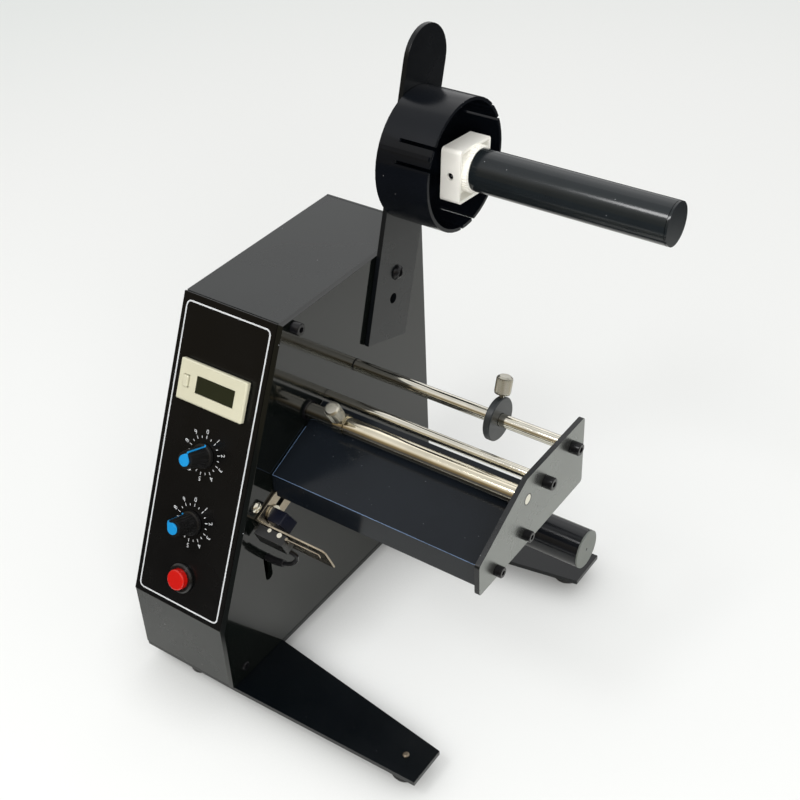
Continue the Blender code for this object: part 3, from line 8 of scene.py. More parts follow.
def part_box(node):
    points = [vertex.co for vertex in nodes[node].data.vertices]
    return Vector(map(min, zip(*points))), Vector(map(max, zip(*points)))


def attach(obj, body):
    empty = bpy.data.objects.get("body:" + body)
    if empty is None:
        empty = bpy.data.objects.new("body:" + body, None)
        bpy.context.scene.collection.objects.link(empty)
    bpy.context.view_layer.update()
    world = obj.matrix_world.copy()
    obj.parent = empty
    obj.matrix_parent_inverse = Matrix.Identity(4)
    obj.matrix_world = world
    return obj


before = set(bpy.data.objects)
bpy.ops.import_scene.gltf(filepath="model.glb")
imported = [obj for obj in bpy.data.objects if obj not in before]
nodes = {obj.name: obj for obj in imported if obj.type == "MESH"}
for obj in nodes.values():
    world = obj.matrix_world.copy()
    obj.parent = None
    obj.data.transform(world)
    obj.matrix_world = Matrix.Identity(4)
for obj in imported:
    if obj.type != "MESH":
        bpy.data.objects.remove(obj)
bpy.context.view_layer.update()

mm = 0.001
print("frame loaded:", len(nodes), "nodes")

cameraSetup = {
    "place": (0.346545, -0.472537, 0.610058),
    "azimuth": 36.4914,     # degrees round from the panel side
    "elevation": 36.9426,
    "roll": -2.7477,
    "lens": 59.233,
    "sensor": 36.0,
    "reach": 50.0,
}


def makeCamera():
    az, el, roll = (radians(cameraSetup[k]) for k in ("azimuth", "elevation", "roll"))
    back = Vector((sin(az) * cos(el), -cos(az) * cos(el), sin(el)))
    right = Vector((cos(az), sin(az), 0))
    up = back.cross(right)
    across = right * cos(roll) + up * sin(roll)
    upright = up * cos(roll) - right * sin(roll)
    data = bpy.data.cameras.new("photoCamera")
    data.lens = cameraSetup["lens"]
    data.sensor_width = cameraSetup["sensor"]
    data.clip_end = cameraSetup["reach"]
    camera = bpy.data.objects.new("photoCamera", data)
    turn = Matrix((across, upright, back)).transposed().to_4x4()
    camera.matrix_world = Matrix.Translation(cameraSetup["place"]) @ turn
    bpy.context.scene.collection.objects.link(camera)
    bpy.context.scene.camera = camera


makeCamera()
bpy.context.scene.view_settings.view_transform = "Standard"
print("camera set")


def addNode(tree, kind, **values):
    node = tree.nodes.new(kind)
    for name, value in values.items():
        if hasattr(node, name):
            setattr(node, name, value)
        else:
            node.inputs[name].default_value = value
    return node


def feed(tree, socket, value):    # links another socket to this one, or sets its value
    if isinstance(value, bpy.types.NodeSocket):
        tree.links.new(value, socket)
    elif socket.type == "RGBA":
        socket.default_value = (*value, 1.0)
    else:
        socket.default_value = value


def mathNode(tree, operation, *values):
    node = addNode(tree, "ShaderNodeMath", operation=operation)
    for socket, value in zip(node.inputs, values):
        feed(tree, socket, value)
    return node.outputs[0]


def rangeNode(tree, value, low, high, outLow=0.0, outHigh=1.0, smooth=True):
    node = tree.nodes.new("ShaderNodeMapRange")
    node.interpolation_type = "SMOOTHSTEP" if smooth else "LINEAR"
    tree.links.new(value, node.inputs["Value"])
    for name, number in (("From Min", low), ("From Max", high), ("To Min", outLow), ("To Max", outHigh)):
        node.inputs[name].default_value = number
    return node.outputs[0]


def mixColour(tree, mask, first, second):
    node = addNode(tree, "ShaderNodeMix", data_type="RGBA")
    for index, value in ((0, mask), (6, first), (7, second)):
        feed(tree, node.inputs[index], value)
    return node.outputs[2]


def mixValue(tree, mask, first, second):
    node = addNode(tree, "ShaderNodeMix")
    for index, value in ((0, mask), (2, first), (3, second)):
        feed(tree, node.inputs[index], value)
    return node.outputs[0]


studio = {
    "skyTop": 0.72,        # straight overhead
    "skyBack": 0.94,       # the lit sweep behind the machine
    "skyFront": 0.20,      # the dark side of the room, where the photographer stands
    "roomTint": (1.0, 0.80, 0.50),
    "frontFade": (0.25, -0.45),    # where the sweep gives way to the dark side, as a direction's Y
    "lowFade": (0.75, 0.2),        # and as its Z
    "highFade": (0.6, 0.92),
    "backdrop": 0.9,
    "floorSize": 14.0,
    "floorColour": (0.78, 0.79, 0.765),
    "floorRoughness": 0.8,
    "floorSpecular": 0.1,
    "farFloorShade": (0.05, 0.05, 0.055),    # painted shade: the dark floor that reflections and bounced light see beyond the lit middle
    "litCentre": (0.08, 0.12, 0.0),
    "litRadius": 0.30,
    "darkRadius": 0.52,
    "shadowFloor": (0.42, 0.425, 0.42),    # the share of the seen floor that takes shadow
    "glowFloor": (0.422, 0.427, 0.422),    # the share of the seen floor that glows evenly, darkened by painted shade in corners
    # painted shade: the floor's glow dims to this further out, over edgeFade in m
    "glowFarShade": (0.36, 0.385, 0.375),
    "edgeFade": (0.7, 1.5),
    # how far the floor's painted corner shade reaches, in m
    "cornerReach": 0.045,
    "lampAim": (0.0, 0.0, 0.1),
}

lamps = {
    "backBox": {"place": (-0.35, 0.75, 1.25), "size": 1.1, "power": 1.2, "gloss": True},
    "frontFill": {"place": (-0.1, -1.3, 1.3), "size": 1.2, "power": 8.5, "gloss": False},
    "sideFill": {"place": (1.0, -1.0, 0.75), "size": 0.8, "power": 14.5, "gloss": False},
    "glint": {"place": (-0.2, -0.57, 1.04), "size": 0.26, "power": 2.4, "gloss": True},
}


def makeWorld():
    world = bpy.data.worlds.new("studioWorld")
    bpy.context.scene.world = world
    world.use_nodes = True
    tree = world.node_tree
    tree.nodes.clear()
    place = addNode(tree, "ShaderNodeTexCoord")
    parts = addNode(tree, "ShaderNodeSeparateXYZ")
    tree.links.new(place.outputs["Generated"], parts.inputs[0])
    front = rangeNode(tree, parts.outputs["Y"], *studio["frontFade"])
    low = rangeNode(tree, parts.outputs["Z"], *studio["lowFade"])
    dark = mathNode(tree, "MULTIPLY", front, low)
    high = rangeNode(tree, parts.outputs["Z"], *studio["highFade"])
    sky = rangeNode(tree, high, 0, 1, studio["skyBack"], studio["skyTop"], smooth=False)
    light = mixValue(tree, dark, sky, studio["skyFront"])
    tint = mixColour(tree, dark, (1, 1, 1), studio["roomTint"])
    seen = addNode(tree, "ShaderNodeLightPath").outputs["Is Camera Ray"]
    background = addNode(tree, "ShaderNodeBackground")
    tree.links.new(mixColour(tree, seen, tint, (1, 1, 1)), background.inputs["Color"])
    tree.links.new(mixValue(tree, seen, light, studio["backdrop"]), background.inputs["Strength"])
    out = addNode(tree, "ShaderNodeOutputWorld")
    tree.links.new(background.outputs[0], out.inputs[0])


def makeFloorMaterial():
    material = bpy.data.materials.new("paleFloor")
    material.use_nodes = True
    tree = material.node_tree
    shader = tree.nodes["Principled BSDF"]
    shader.inputs["Roughness"].default_value = studio["floorRoughness"]
    shader.inputs["Specular IOR Level"].default_value = studio["floorSpecular"]
    shader.inputs["Emission Strength"].default_value = 1.0
    place = addNode(tree, "ShaderNodeTexCoord")
    away = addNode(tree, "ShaderNodeVectorMath", operation="DISTANCE")
    away.inputs[1].default_value = studio["litCentre"]
    tree.links.new(place.outputs["Object"], away.inputs[0])
    far = rangeNode(tree, away.outputs["Value"], studio["litRadius"], studio["darkRadius"])
    seen = addNode(tree, "ShaderNodeLightPath").outputs["Is Camera Ray"]
    # painted shade: off the camera the floor fades from its lit colour to a dark one away from the middle
    mirrored = mixColour(tree, far, studio["floorColour"], studio["farFloorShade"])
    colour = mixColour(tree, seen, mirrored, studio["shadowFloor"])
    tree.links.new(colour, shader.inputs["Base Color"])
    edge = rangeNode(tree, away.outputs["Value"], *studio["edgeFade"])
    glow = mixColour(tree, edge, studio["glowFloor"], studio["glowFarShade"])
    # painted shade: ambient occlusion darkens the floor's glow in corners and under the machine
    cornerShade = addNode(tree, "ShaderNodeAmbientOcclusion", samples=8, Distance=studio["cornerReach"])
    tree.links.new(glow, cornerShade.inputs["Color"])
    shown = mixColour(tree, seen, (0, 0, 0), cornerShade.outputs["Color"])
    tree.links.new(shown, shader.inputs["Emission Color"])
    return material


def makeFloor():
    bm = bmesh.new()
    bmesh.ops.create_grid(bm, x_segments=2, y_segments=2, size=studio["floorSize"] / 2)
    mesh = bpy.data.meshes.new("studioFloor")
    bm.to_mesh(mesh)
    bm.free()
    mesh.materials.append(makeFloorMaterial())
    floor = bpy.data.objects.new("studioFloor", mesh)
    bpy.context.scene.collection.objects.link(floor)


def makeLamp(name, values):
    data = bpy.data.lights.new(name, "AREA")
    data.shape = "DISK"
    data.size = values["size"]
    data.energy = values["power"]
    lamp = bpy.data.objects.new(name, data)
    lamp.location = values["place"]
    aim = Vector(studio["lampAim"]) - lamp.location
    lamp.rotation_euler = aim.to_track_quat("-Z", "Y").to_euler()
    lamp.visible_glossy = values["gloss"]
    bpy.context.scene.collection.objects.link(lamp)


makeWorld()
makeFloor()
for lampName, lampValues in lamps.items():
    makeLamp(lampName, lampValues)
print("studio ready")


effects = {
    "peelShare": 0.6, "fineShare": 0.4,    # how much each noise lifts a painted or moulded skin
    "toneScale": 22.0, "cloudScale": 60.0,
    "speckReach": (0.16, 0.05),            # a speck's rim and its solid middle, in cells
    "litSideReach": (0.93, 0.98),             # how straight along X a face has to look to take the lighter, lit colour
}


def newGroup(name, inputs, outputs):
    group = bpy.data.node_groups.new(name, "ShaderNodeTree")
    for label, kind, value in inputs:
        socket = group.interface.new_socket(label, in_out="INPUT", socket_type=kind)
        socket.default_value = value
    for label, kind in outputs:
        group.interface.new_socket(label, in_out="OUTPUT", socket_type=kind)
    return group, addNode(group, "NodeGroupInput"), addNode(group, "NodeGroupOutput")


def makePaintGrain():    # orange peel and the faint unevenness of sprayed or moulded skin
    group, given, out = newGroup(
        "paintGrain", [("Grain", "NodeSocketFloat", 1500.0), ("Peel", "NodeSocketFloat", 260.0)],
        [("Height", "NodeSocketFloat"), ("Tone", "NodeSocketFloat")])
    place = addNode(group, "ShaderNodeTexCoord")
    fine = addNode(group, "ShaderNodeTexNoise", Detail=2.0, Roughness=0.6)
    group.links.new(place.outputs["Object"], fine.inputs["Vector"])
    group.links.new(given.outputs["Grain"], fine.inputs["Scale"])
    peel = addNode(group, "ShaderNodeTexNoise", Detail=1.0, Roughness=0.4)
    group.links.new(place.outputs["Object"], peel.inputs["Vector"])
    group.links.new(given.outputs["Peel"], peel.inputs["Scale"])
    fineHeight = mathNode(group, "MULTIPLY", fine.outputs[0], effects["fineShare"])
    height = mathNode(group, "MULTIPLY_ADD", peel.outputs[0], effects["peelShare"], fineHeight)
    tone = addNode(group, "ShaderNodeTexNoise", Scale=effects["toneScale"], Detail=4.0, Roughness=0.62)
    group.links.new(place.outputs["Object"], tone.inputs["Vector"])
    group.links.new(height, out.inputs["Height"])
    group.links.new(tone.outputs[0], out.inputs["Tone"])
    return group


def makeDust():          # stray specks that lie on dark paint
    group, given, out = newGroup(
        "dustSpecks", [("Scale", "NodeSocketFloat", 420.0), ("Amount", "NodeSocketFloat", 0.1)],
        [("Mask", "NodeSocketFloat")])
    place = addNode(group, "ShaderNodeTexCoord")
    cells = addNode(group, "ShaderNodeTexVoronoi")
    group.links.new(place.outputs["Object"], cells.inputs["Vector"])
    group.links.new(given.outputs["Scale"], cells.inputs["Scale"])
    tint = addNode(group, "ShaderNodeSeparateColor")
    group.links.new(cells.outputs["Color"], tint.inputs[0])
    few = mathNode(group, "GREATER_THAN", given.outputs["Amount"], tint.outputs[0])
    spot = rangeNode(group, cells.outputs["Distance"], *effects["speckReach"])
    group.links.new(mathNode(group, "MULTIPLY", few, spot), out.inputs["Mask"])
    return group


def makeDrawnMetal():    # fine lines round and along bright plated steel
    group, given, out = newGroup(
        "drawnMetal",
        [("Scale", "NodeSocketFloat", 900.0), ("Along", "NodeSocketVector", (0.02, 1.0, 1.0))],
        [("Height", "NodeSocketFloat"), ("Tone", "NodeSocketFloat")])
    place = addNode(group, "ShaderNodeTexCoord")
    stretch = addNode(group, "ShaderNodeVectorMath", operation="MULTIPLY")
    group.links.new(place.outputs["Object"], stretch.inputs[0])
    group.links.new(given.outputs["Along"], stretch.inputs[1])
    lines = addNode(group, "ShaderNodeTexNoise", Detail=3.0, Roughness=0.7)
    group.links.new(stretch.outputs[0], lines.inputs["Vector"])
    group.links.new(given.outputs["Scale"], lines.inputs["Scale"])
    cloud = addNode(group, "ShaderNodeTexNoise", Scale=effects["cloudScale"], Detail=3.0)
    group.links.new(place.outputs["Object"], cloud.inputs["Vector"])
    group.links.new(lines.outputs[0], out.inputs["Height"])
    group.links.new(cloud.outputs[0], out.inputs["Tone"])
    return group


paintGrain = makePaintGrain()
dustSpecks = makeDust()
drawnMetal = makeDrawnMetal()
print("effects ready")


def placeGroup(tree, group, **values):
    node = tree.nodes.new("ShaderNodeGroup")
    node.node_tree = group
    for name, value in values.items():
        node.inputs[name].default_value = value
    return node


def litSideMask(tree):      # 1 on faces that look along X, 0 on edges and other faces; it sets the lit sides apart from the painted-shade edges
    shape = addNode(tree, "ShaderNodeNewGeometry")
    parts = addNode(tree, "ShaderNodeSeparateXYZ")
    tree.links.new(shape.outputs["Normal"], parts.inputs[0])
    straight = mathNode(tree, "ABSOLUTE", parts.outputs["X"])
    return rangeNode(tree, straight, *effects["litSideReach"])


plainLook = {    # what a look has unless it says otherwise
    "metal": 0.0, "specular": 0.5, "ior": 1.5, "coat": 0.0, "coatRoughness": 0.05,
    "grain": 1500.0, "peel": 260.0,      # noise scales of painted or moulded skin
    "drawn": None, "lines": 900.0,       # a drawn metal's stretch of its noise, and the noise's scale
    "bump": 0.1, "depth": 0.05,          # strength, and height in mm
    "vary": 0.12, "spread": 0.15,        # how far the colour and the roughness wander
    "dust": 0.0, "dustScale": 420.0, "dustColour": (0.35, 0.36, 0.38),
    # painted shade: a darker colour and less metal for edges, away from the faces that look along X
    "edgeShadeColour": None, "edgeShadeMetal": 0.2,
    "colourTones": (0.32, 0.68), "roughTones": (0.3, 0.7),
}


def finish(name, ownLook):
    look = {**plainLook, **ownLook}
    material = bpy.data.materials.new(name)
    material.use_nodes = True
    tree = material.node_tree
    shader = tree.nodes["Principled BSDF"]
    for label, key in (("Metallic", "metal"), ("IOR", "ior"), ("Specular IOR Level", "specular"),
                       ("Coat Weight", "coat"), ("Coat Roughness", "coatRoughness")):
        shader.inputs[label].default_value = look[key]
    if look["drawn"]:
        grain = placeGroup(tree, drawnMetal, Scale=look["lines"], Along=look["drawn"])
    else:
        grain = placeGroup(tree, paintGrain, Grain=look["grain"], Peel=look["peel"])
    dark = tuple(c * (1 - look["vary"]) for c in look["colour"])
    light = tuple(min(1, c * (1 + look["vary"])) for c in look["colour"])
    tone = rangeNode(tree, grain.outputs["Tone"], *look["colourTones"])
    colour = mixColour(tree, tone, dark, light)
    # painted shade: edges get a darker colour than the faces that look along X, which stand lit
    if look["edgeShadeColour"]:
        face = litSideMask(tree)
        colour = mixColour(tree, face, look["edgeShadeColour"], colour)
        metal = rangeNode(tree, face, 0, 1, look["edgeShadeMetal"], look["metal"])
        tree.links.new(metal, shader.inputs["Metallic"])
    if look["dust"]:
        dust = placeGroup(tree, dustSpecks, Scale=look["dustScale"], Amount=look["dust"])
        colour = mixColour(tree, dust.outputs["Mask"], colour, look["dustColour"])
    tree.links.new(colour, shader.inputs["Base Color"])
    rough, spread = look["roughness"], look["spread"]
    roughness = rangeNode(tree, grain.outputs["Tone"], *look["roughTones"],
                          rough * (1 - spread), rough * (1 + spread))
    tree.links.new(roughness, shader.inputs["Roughness"])
    bump = addNode(tree, "ShaderNodeBump", Strength=look["bump"], Distance=look["depth"] * mm)
    tree.links.new(grain.outputs["Height"], bump.inputs["Height"])
    tree.links.new(bump.outputs[0], shader.inputs["Normal"])
    return material


looks = {
    "coverPaint": {"colour": (0.014, 0.016, 0.016), "roughness": 0.3, "bump": 0.25, "depth": 0.03,
                   "grain": 1700.0, "peel": 700.0, "dust": 0.02, "specular": 0.43},
    "sideGloss": {"colour": (0.003, 0.004, 0.0035), "roughness": 0.09, "bump": 0.06, "depth": 0.02,
                  "grain": 900.0, "peel": 160.0, "dust": 0.03},
    "panelPrint": {"colour": (0.003, 0.003, 0.003), "roughness": 0.26, "bump": 0.1, "depth": 0.01,
                   "specular": 0.32},
    "basePaint": {"colour": (0.002, 0.003, 0.004), "roughness": 0.22, "bump": 0.15, "depth": 0.03,
                  "dust": 0.02, "dustScale": 650.0, "dustColour": (0.1, 0.1, 0.11), "specular": 0.34},
    "armPaint": {"colour": (0.004, 0.005, 0.006), "roughness": 0.26, "bump": 0.2, "depth": 0.03,
                 "dust": 0.03, "specular": 0.36},
    "spindlePaint": {"colour": (0.006, 0.007, 0.009), "roughness": 0.18, "bump": 0.15, "depth": 0.03,
                     "dust": 0.03, "specular": 0.35},
    "shelfPaint": {"colour": (0.006, 0.008, 0.011), "roughness": 0.16, "bump": 0.12, "depth": 0.03,
                   "specular": 0.27, "dust": 0.03, "dustScale": 650.0, "dustColour": (0.16, 0.17, 0.19)},
    # its faces along X lit grey, and its edges painted near-black as shade
    "outerSatin": {"colour": (0.222, 0.232, 0.222), "metal": 0.9, "roughness": 0.28, "bump": 0.2,
                   "depth": 0.02, "dust": 0.03, "vary": 0.08, "edgeShadeColour": (0.006, 0.007, 0.008)},
    "reelPlastic": {"colour": (0.003, 0.004, 0.006), "roughness": 0.2, "bump": 0.12, "depth": 0.02,
                    "specular": 0.24, "dust": 0.02, "dustColour": (0.2, 0.2, 0.2)},
    "discPlastic": {"colour": (0.013, 0.016, 0.018), "roughness": 0.36, "bump": 0.2, "depth": 0.02},
    "tubePlastic": {"colour": (0.010, 0.013, 0.015), "roughness": 0.14, "bump": 0.12, "depth": 0.02,
                    "specular": 0.42, "dust": 0.02},
    "clampNavy": {"colour": (0.002, 0.003, 0.009), "roughness": 0.3, "bump": 0.1, "specular": 0.3},
    "knobPlastic": {"colour": (0.006, 0.006, 0.006), "roughness": 0.3, "bump": 0.1},
    "screwBlack": {"colour": (0.006, 0.006, 0.007), "metal": 0.1, "roughness": 0.24, "bump": 0.3,
                   "specular": 0.35},
    "nickelRod": {"colour": (0.78, 0.75, 0.65), "metal": 1.0, "roughness": 0.09, "bump": 0.12,
                  "drawn": (0.03, 1.0, 1.0), "depth": 0.01, "vary": 0.05},
    "rollerPlate": {"colour": (0.80, 0.74, 0.59), "metal": 1.0, "roughness": 0.11, "bump": 0.12,
                    "drawn": (0.03, 1.0, 1.0), "depth": 0.01, "vary": 0.08},
    "brightZinc": {"colour": (0.58, 0.56, 0.48), "metal": 1.0, "roughness": 0.22, "drawn": (1.0, 1.0, 0.1),
                   "bump": 0.1, "depth": 0.01},
    "plainSteel": {"colour": (0.5, 0.5, 0.5), "metal": 1.0, "roughness": 0.32, "drawn": (1.0, 1.0, 0.1),
                   "bump": 0.15, "depth": 0.01},
    "dullScrew": {"colour": (0.24, 0.20, 0.15), "metal": 0.9, "roughness": 0.4, "drawn": (1.0, 1.0, 0.1),
                  "bump": 0.2, "depth": 0.01},
    "brassBush": {"colour": (0.62, 0.44, 0.18), "metal": 1.0, "roughness": 0.3, "drawn": (0.1, 1.0, 1.0),
                  "bump": 0.1, "depth": 0.01},
    "creamCase": {"colour": (0.58, 0.565, 0.43), "roughness": 0.38, "bump": 0.15, "depth": 0.02,
                  "vary": 0.03},
    "whiteBlock": {"colour": (0.95, 0.94, 0.88), "roughness": 0.42, "bump": 0.2, "depth": 0.02,
                   "vary": 0.03},
    "greyEnd": {"colour": (0.14, 0.152, 0.14), "roughness": 0.5, "bump": 0.3, "depth": 0.02, "vary": 0.06},
    "blueInlay": {"colour": (0.008, 0.25, 0.58), "roughness": 0.3, "bump": 0.08, "vary": 0.05},
    "redCap": {"colour": (0.52, 0.007, 0.004), "roughness": 0.24, "bump": 0.06, "vary": 0.06, "coat": 0.3},
    "darkScreen": {"colour": (0.015, 0.017, 0.008), "roughness": 0.22, "bump": 0.02, "vary": 0.08,
                   "specular": 0.35},
    "footRubber": {"colour": (0.012, 0.012, 0.012), "roughness": 0.62, "bump": 0.5, "depth": 0.04,
                   "vary": 0.2},
    "leadSkin": {"colour": (0.006, 0.006, 0.007), "roughness": 0.36, "bump": 0.2, "depth": 0.02},
    "boardGreen": {"colour": (0.02, 0.14, 0.05), "roughness": 0.4, "bump": 0.3, "depth": 0.03, "vary": 0.3},
    "whitePrint": {"colour": (0.58, 0.60, 0.62), "roughness": 0.45, "bump": 0.05, "vary": 0.08},
    "grooveShade": {"colour": (0.22, 0.205, 0.14), "roughness": 0.5, "bump": 0.05, "vary": 0.05},
    "bracketZinc": {"colour": (0.44, 0.38, 0.29), "metal": 1.0, "roughness": 0.24, "drawn": (1.0, 0.1, 1.0),
                    "bump": 0.1, "depth": 0.01},
    "headZinc": {"colour": (0.82, 0.78, 0.66), "metal": 0.92, "roughness": 0.24, "drawn": (1.0, 1.0, 0.1),
                 "bump": 0.1, "depth": 0.01, "vary": 0.05},
    # painted highlight: the blue-white of the light caught on the shelf's edges
    "highlightBlue": {"colour": (0.10, 0.16, 0.27), "roughness": 0.3, "bump": 0.05, "vary": 0.25},
    "faintDigit": {"colour": (0.008, 0.009, 0.005), "roughness": 0.3, "bump": 0.05, "vary": 0.05},
}
finishes = {name: finish(name, look) for name, look in looks.items()}

nodeFinish = {
    "coverPaint": ["cover", "rear_cover"],
    "sideGloss": ["side_plate"],
    "panelPrint": ["front_panel"],
    "basePaint": ["base_plate"],
    "armPaint": ["reel_arm"],
    "spindlePaint": ["rewind_spindle"],
    "shelfPaint": ["peel_shelf"],
    "outerSatin": ["outer_plate"],
    "reelPlastic": ["reel_drum"],
    "discPlastic": ["guide_disc"],
    "tubePlastic": ["reel_tube", "reel_tube_cap"],
    "knobPlastic": ["upper_knob", "lower_knob", "button_bezel", "limit_switch", "power_inlet"],
    "clampNavy": ["clamp_knob"],
    "screwBlack": ["side_screw_top", "side_screw_low", "arm_screw", "guide_rod_screw", "tie_rod_screw",
                   "axle_ring", "shelf_screw_front", "shelf_screw_rear"],
    "nickelRod": ["guide_rod", "tie_rod", "liner_clip", "roller_axle"],
    "rollerPlate": ["front_roller", "roller_collar"],
    "brightZinc": ["collar_thumbscrew", "disc_thumbscrew"],
    "bracketZinc": ["sensor_bracket", "switch_lever"],
    "headZinc": ["side_pan_screw"],
    "dullScrew": ["foot_screw_front_tip", "foot_screw_rear_tip"],
    "plainSteel": ["motor_bracket", "gear_motor", "upper_knob_pot", "lower_knob_pot", "reel_axle"],
    "brassBush": ["spindle_bush"],
    "creamCase": ["counter_case", "counter_reset_button"],
    "whiteBlock": ["hub_block"],
    "greyEnd": ["spindle_cap"],
    "blueInlay": ["upper_knob_cap", "lower_knob_cap"],
    "redCap": ["start_button"],
    "darkScreen": ["counter_window"],
    "footRubber": ["foot_front_tip", "foot_rear_tip", "foot_front_box", "foot_rear_box"],
    "leadSkin": ["sensor_cable"],
    "boardGreen": ["control_board"],
}
for finishName, names in nodeFinish.items():
    for nodeName in names:
        for slot in nodes[nodeName].material_slots:
            slot.material = finishes[finishName]
print("finishes ready:", len(finishes))

# Width of the rounded edge on folded sheet and moulded parts, in mm
edgeWidth = {
    "cover": 0.9, "side_plate": 0.4, "front_panel": 0.3, "base_plate": 0.5, "reel_arm": 0.5,
    "outer_plate": 0.5, "hub_block": 0.5, "counter_case": 0.5, "sensor_bracket": 0.25,
    "start_button": 0.4, "limit_switch": 0.3, "clamp_knob": 0.2, "counter_reset_button": 0.3,
    "upper_knob_cap": 0.25, "lower_knob_cap": 0.25,
}
edgeShaping = {
    "weld": 0.002,          # mm
    "flatAngle": 0.5,       # degrees: flatter edges than this are joined before the rounding
    "bevelAngle": 40.0,     # sharper edges than this are rounded
    "segments": 2,
    "sharpAngle": 32.0,     # sharper edges than this stay sharp in the shading
    "evenWeight": 100,
}


def makeSmoothing():     # shades round pieces smooth and keeps their real corners sharp
    group = bpy.data.node_groups.new("smoothRounds", "GeometryNodeTree")
    group.interface.new_socket("Geometry", in_out="INPUT", socket_type="NodeSocketGeometry")
    group.interface.new_socket("Geometry", in_out="OUTPUT", socket_type="NodeSocketGeometry")
    given = addNode(group, "NodeGroupInput")
    out = addNode(group, "NodeGroupOutput")
    angle = addNode(group, "GeometryNodeInputMeshEdgeAngle")
    sharp = addNode(group, "FunctionNodeCompare", operation="GREATER_THAN")
    sharp.inputs[1].default_value = radians(edgeShaping["sharpAngle"])
    group.links.new(angle.outputs["Unsigned Angle"], sharp.inputs[0])
    normals = addNode(group, "GeometryNodeSetMeshNormal", mode="SHARPNESS")
    normals.inputs["Remove Custom"].default_value = True
    group.links.new(given.outputs[0], normals.inputs["Mesh"])
    group.links.new(sharp.outputs[0], normals.inputs["Edge Sharpness"])
    group.links.new(normals.outputs[0], out.inputs[0])
    return group


def refine(node, smoothing, width):
    weld = node.modifiers.new("weld", "WELD")
    weld.merge_threshold = edgeShaping["weld"] * mm
    if width:
        flat = node.modifiers.new("flat", "DECIMATE")
        flat.decimate_type = "DISSOLVE"
        flat.angle_limit = radians(edgeShaping["flatAngle"])
        bevel = node.modifiers.new("edge", "BEVEL")
        bevel.width = width * mm
        bevel.segments = edgeShaping["segments"]
        bevel.limit_method = "ANGLE"
        bevel.angle_limit = radians(edgeShaping["bevelAngle"])
    smooth = node.modifiers.new("smooth", "NODES")
    smooth.node_group = smoothing
    even = node.modifiers.new("even", "WEIGHTED_NORMAL")
    even.mode = "FACE_AREA"
    even.weight = edgeShaping["evenWeight"]
    even.keep_sharp = True


smoothRounds = makeSmoothing()
for nodeName, node in nodes.items():
    refine(node, smoothRounds, edgeWidth.get(nodeName))
print("edges ready")


def addPiece(name, bm, look, body, place=None):
    mesh = bpy.data.meshes.new(name)
    bm.normal_update()
    bm.to_mesh(mesh)
    bm.free()
    mesh.materials.append(finishes[look])
    piece = bpy.data.objects.new(name, mesh)
    bpy.context.scene.collection.objects.link(piece)
    if place is not None:
        piece.matrix_world = place
    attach(piece, body)


def addBox(bm, size, place):
    bmesh.ops.create_cube(bm, size=1, matrix=place @ Matrix.Diagonal((*size, 1)))


def ringFaces(bm, outer, inner, height, place=None):    # closed flat frame between two outlines
    place = place or Matrix.Identity(4)
    rows = []
    for outline, level in ((outer, 0), (outer, height), (inner, height), (inner, 0)):
        rows.append([bm.verts.new(place @ Vector((x, y, level))) for x, y in outline])
    count = len(outer)
    for near, far in zip(rows, rows[1:] + rows[:1]):
        for i in range(count):
            j = (i + 1) % count
            bm.faces.new((near[i], near[j], far[j], far[i]))


def turnRing(bm, radius, bore, thickness, segments=36, place=None):    # flat round washer
    turns = [2 * pi * i / segments for i in range(segments)]
    outer = [(radius * cos(turn), radius * sin(turn)) for turn in turns]
    inner = [(x * bore / radius, y * bore / radius) for x, y in outer]
    ringFaces(bm, outer, inner, thickness, place)


def roundedOutline(width, height, corner, steps=6):
    points = []
    for quarter, (sx, sy) in enumerate(((1, 1), (-1, 1), (-1, -1), (1, -1))):
        for step in range(steps + 1):
            turn = (quarter + step / steps) * pi / 2
            points.append((sx * (width / 2 - corner) + corner * cos(turn),
                           sy * (height / 2 - corner) + corner * sin(turn)))
    return points


panelFace = {"sheet": 1.5, "tilt": 65.114}    # its thickness in mm, and how steeply it stands


def panelPlace():    # frame at the panel's top middle: X across, Y up the slope, Z out of the face
    low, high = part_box("front_panel")
    tilt = radians(panelFace["tilt"])
    across = Vector((1, 0, 0))
    up = Vector((0, cos(tilt), sin(tilt)))
    out = Vector((0, -sin(tilt), cos(tilt)))
    top = Vector(((low.x + high.x) / 2, high.y - panelFace["sheet"] * mm * sin(tilt), high.z))
    return Matrix.Translation(top) @ Matrix((across, up, out)).transposed().to_4x4()


panel = panelPlace()
onPanel = panel.inverted()


def middleOf(node):
    low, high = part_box(node)
    return (low + high) / 2


panelLine = {
    "top": 4.0, "bottom": 180.0, "half": 30.2, "corner": 3.5,    # mm down and across the panel
    "width": 0.9, "height": 0.05, "lift": 0.02,
}


def makePanelLine():
    v = panelLine
    width, height = 2 * v["half"] * mm, (v["bottom"] - v["top"]) * mm
    line = v["width"] * mm
    outer = roundedOutline(width, height, v["corner"] * mm)
    inner = roundedOutline(width - 2 * line, height - 2 * line, (v["corner"] - v["width"]) * mm)
    bm = bmesh.new()
    ringFaces(bm, outer, inner, v["height"] * mm)
    middle = Matrix.Translation((0, -(v["top"] + v["bottom"]) / 2 * mm, v["lift"] * mm))
    addPiece("panelLine", bm, "whitePrint", "frame", panel @ middle)


dialMarks = {
    "digitHeight": 2.7, "digitRadius": 13.9, "longTick": (9.9, 11.7), "shortTick": (9.9, 11.2),
    "tickWidth": 0.42, "thickness": 0.04, "lift": 0.05,
    "ticks": 20, "fontShare": 0.7,    # a digit's height as a share of its font size
}


def digitMesh(text, height):
    curve = bpy.data.curves.new("digit", "FONT")
    curve.body = text
    curve.size = height / dialMarks["fontShare"] * mm
    curve.align_x = "CENTER"
    curve.align_y = "CENTER"
    curve.extrude = dialMarks["thickness"] / 2 * mm
    curve.resolution_u = 3
    item = bpy.data.objects.new("digit", curve)
    mesh = bpy.data.meshes.new_from_object(item)
    bpy.data.objects.remove(item)
    return mesh


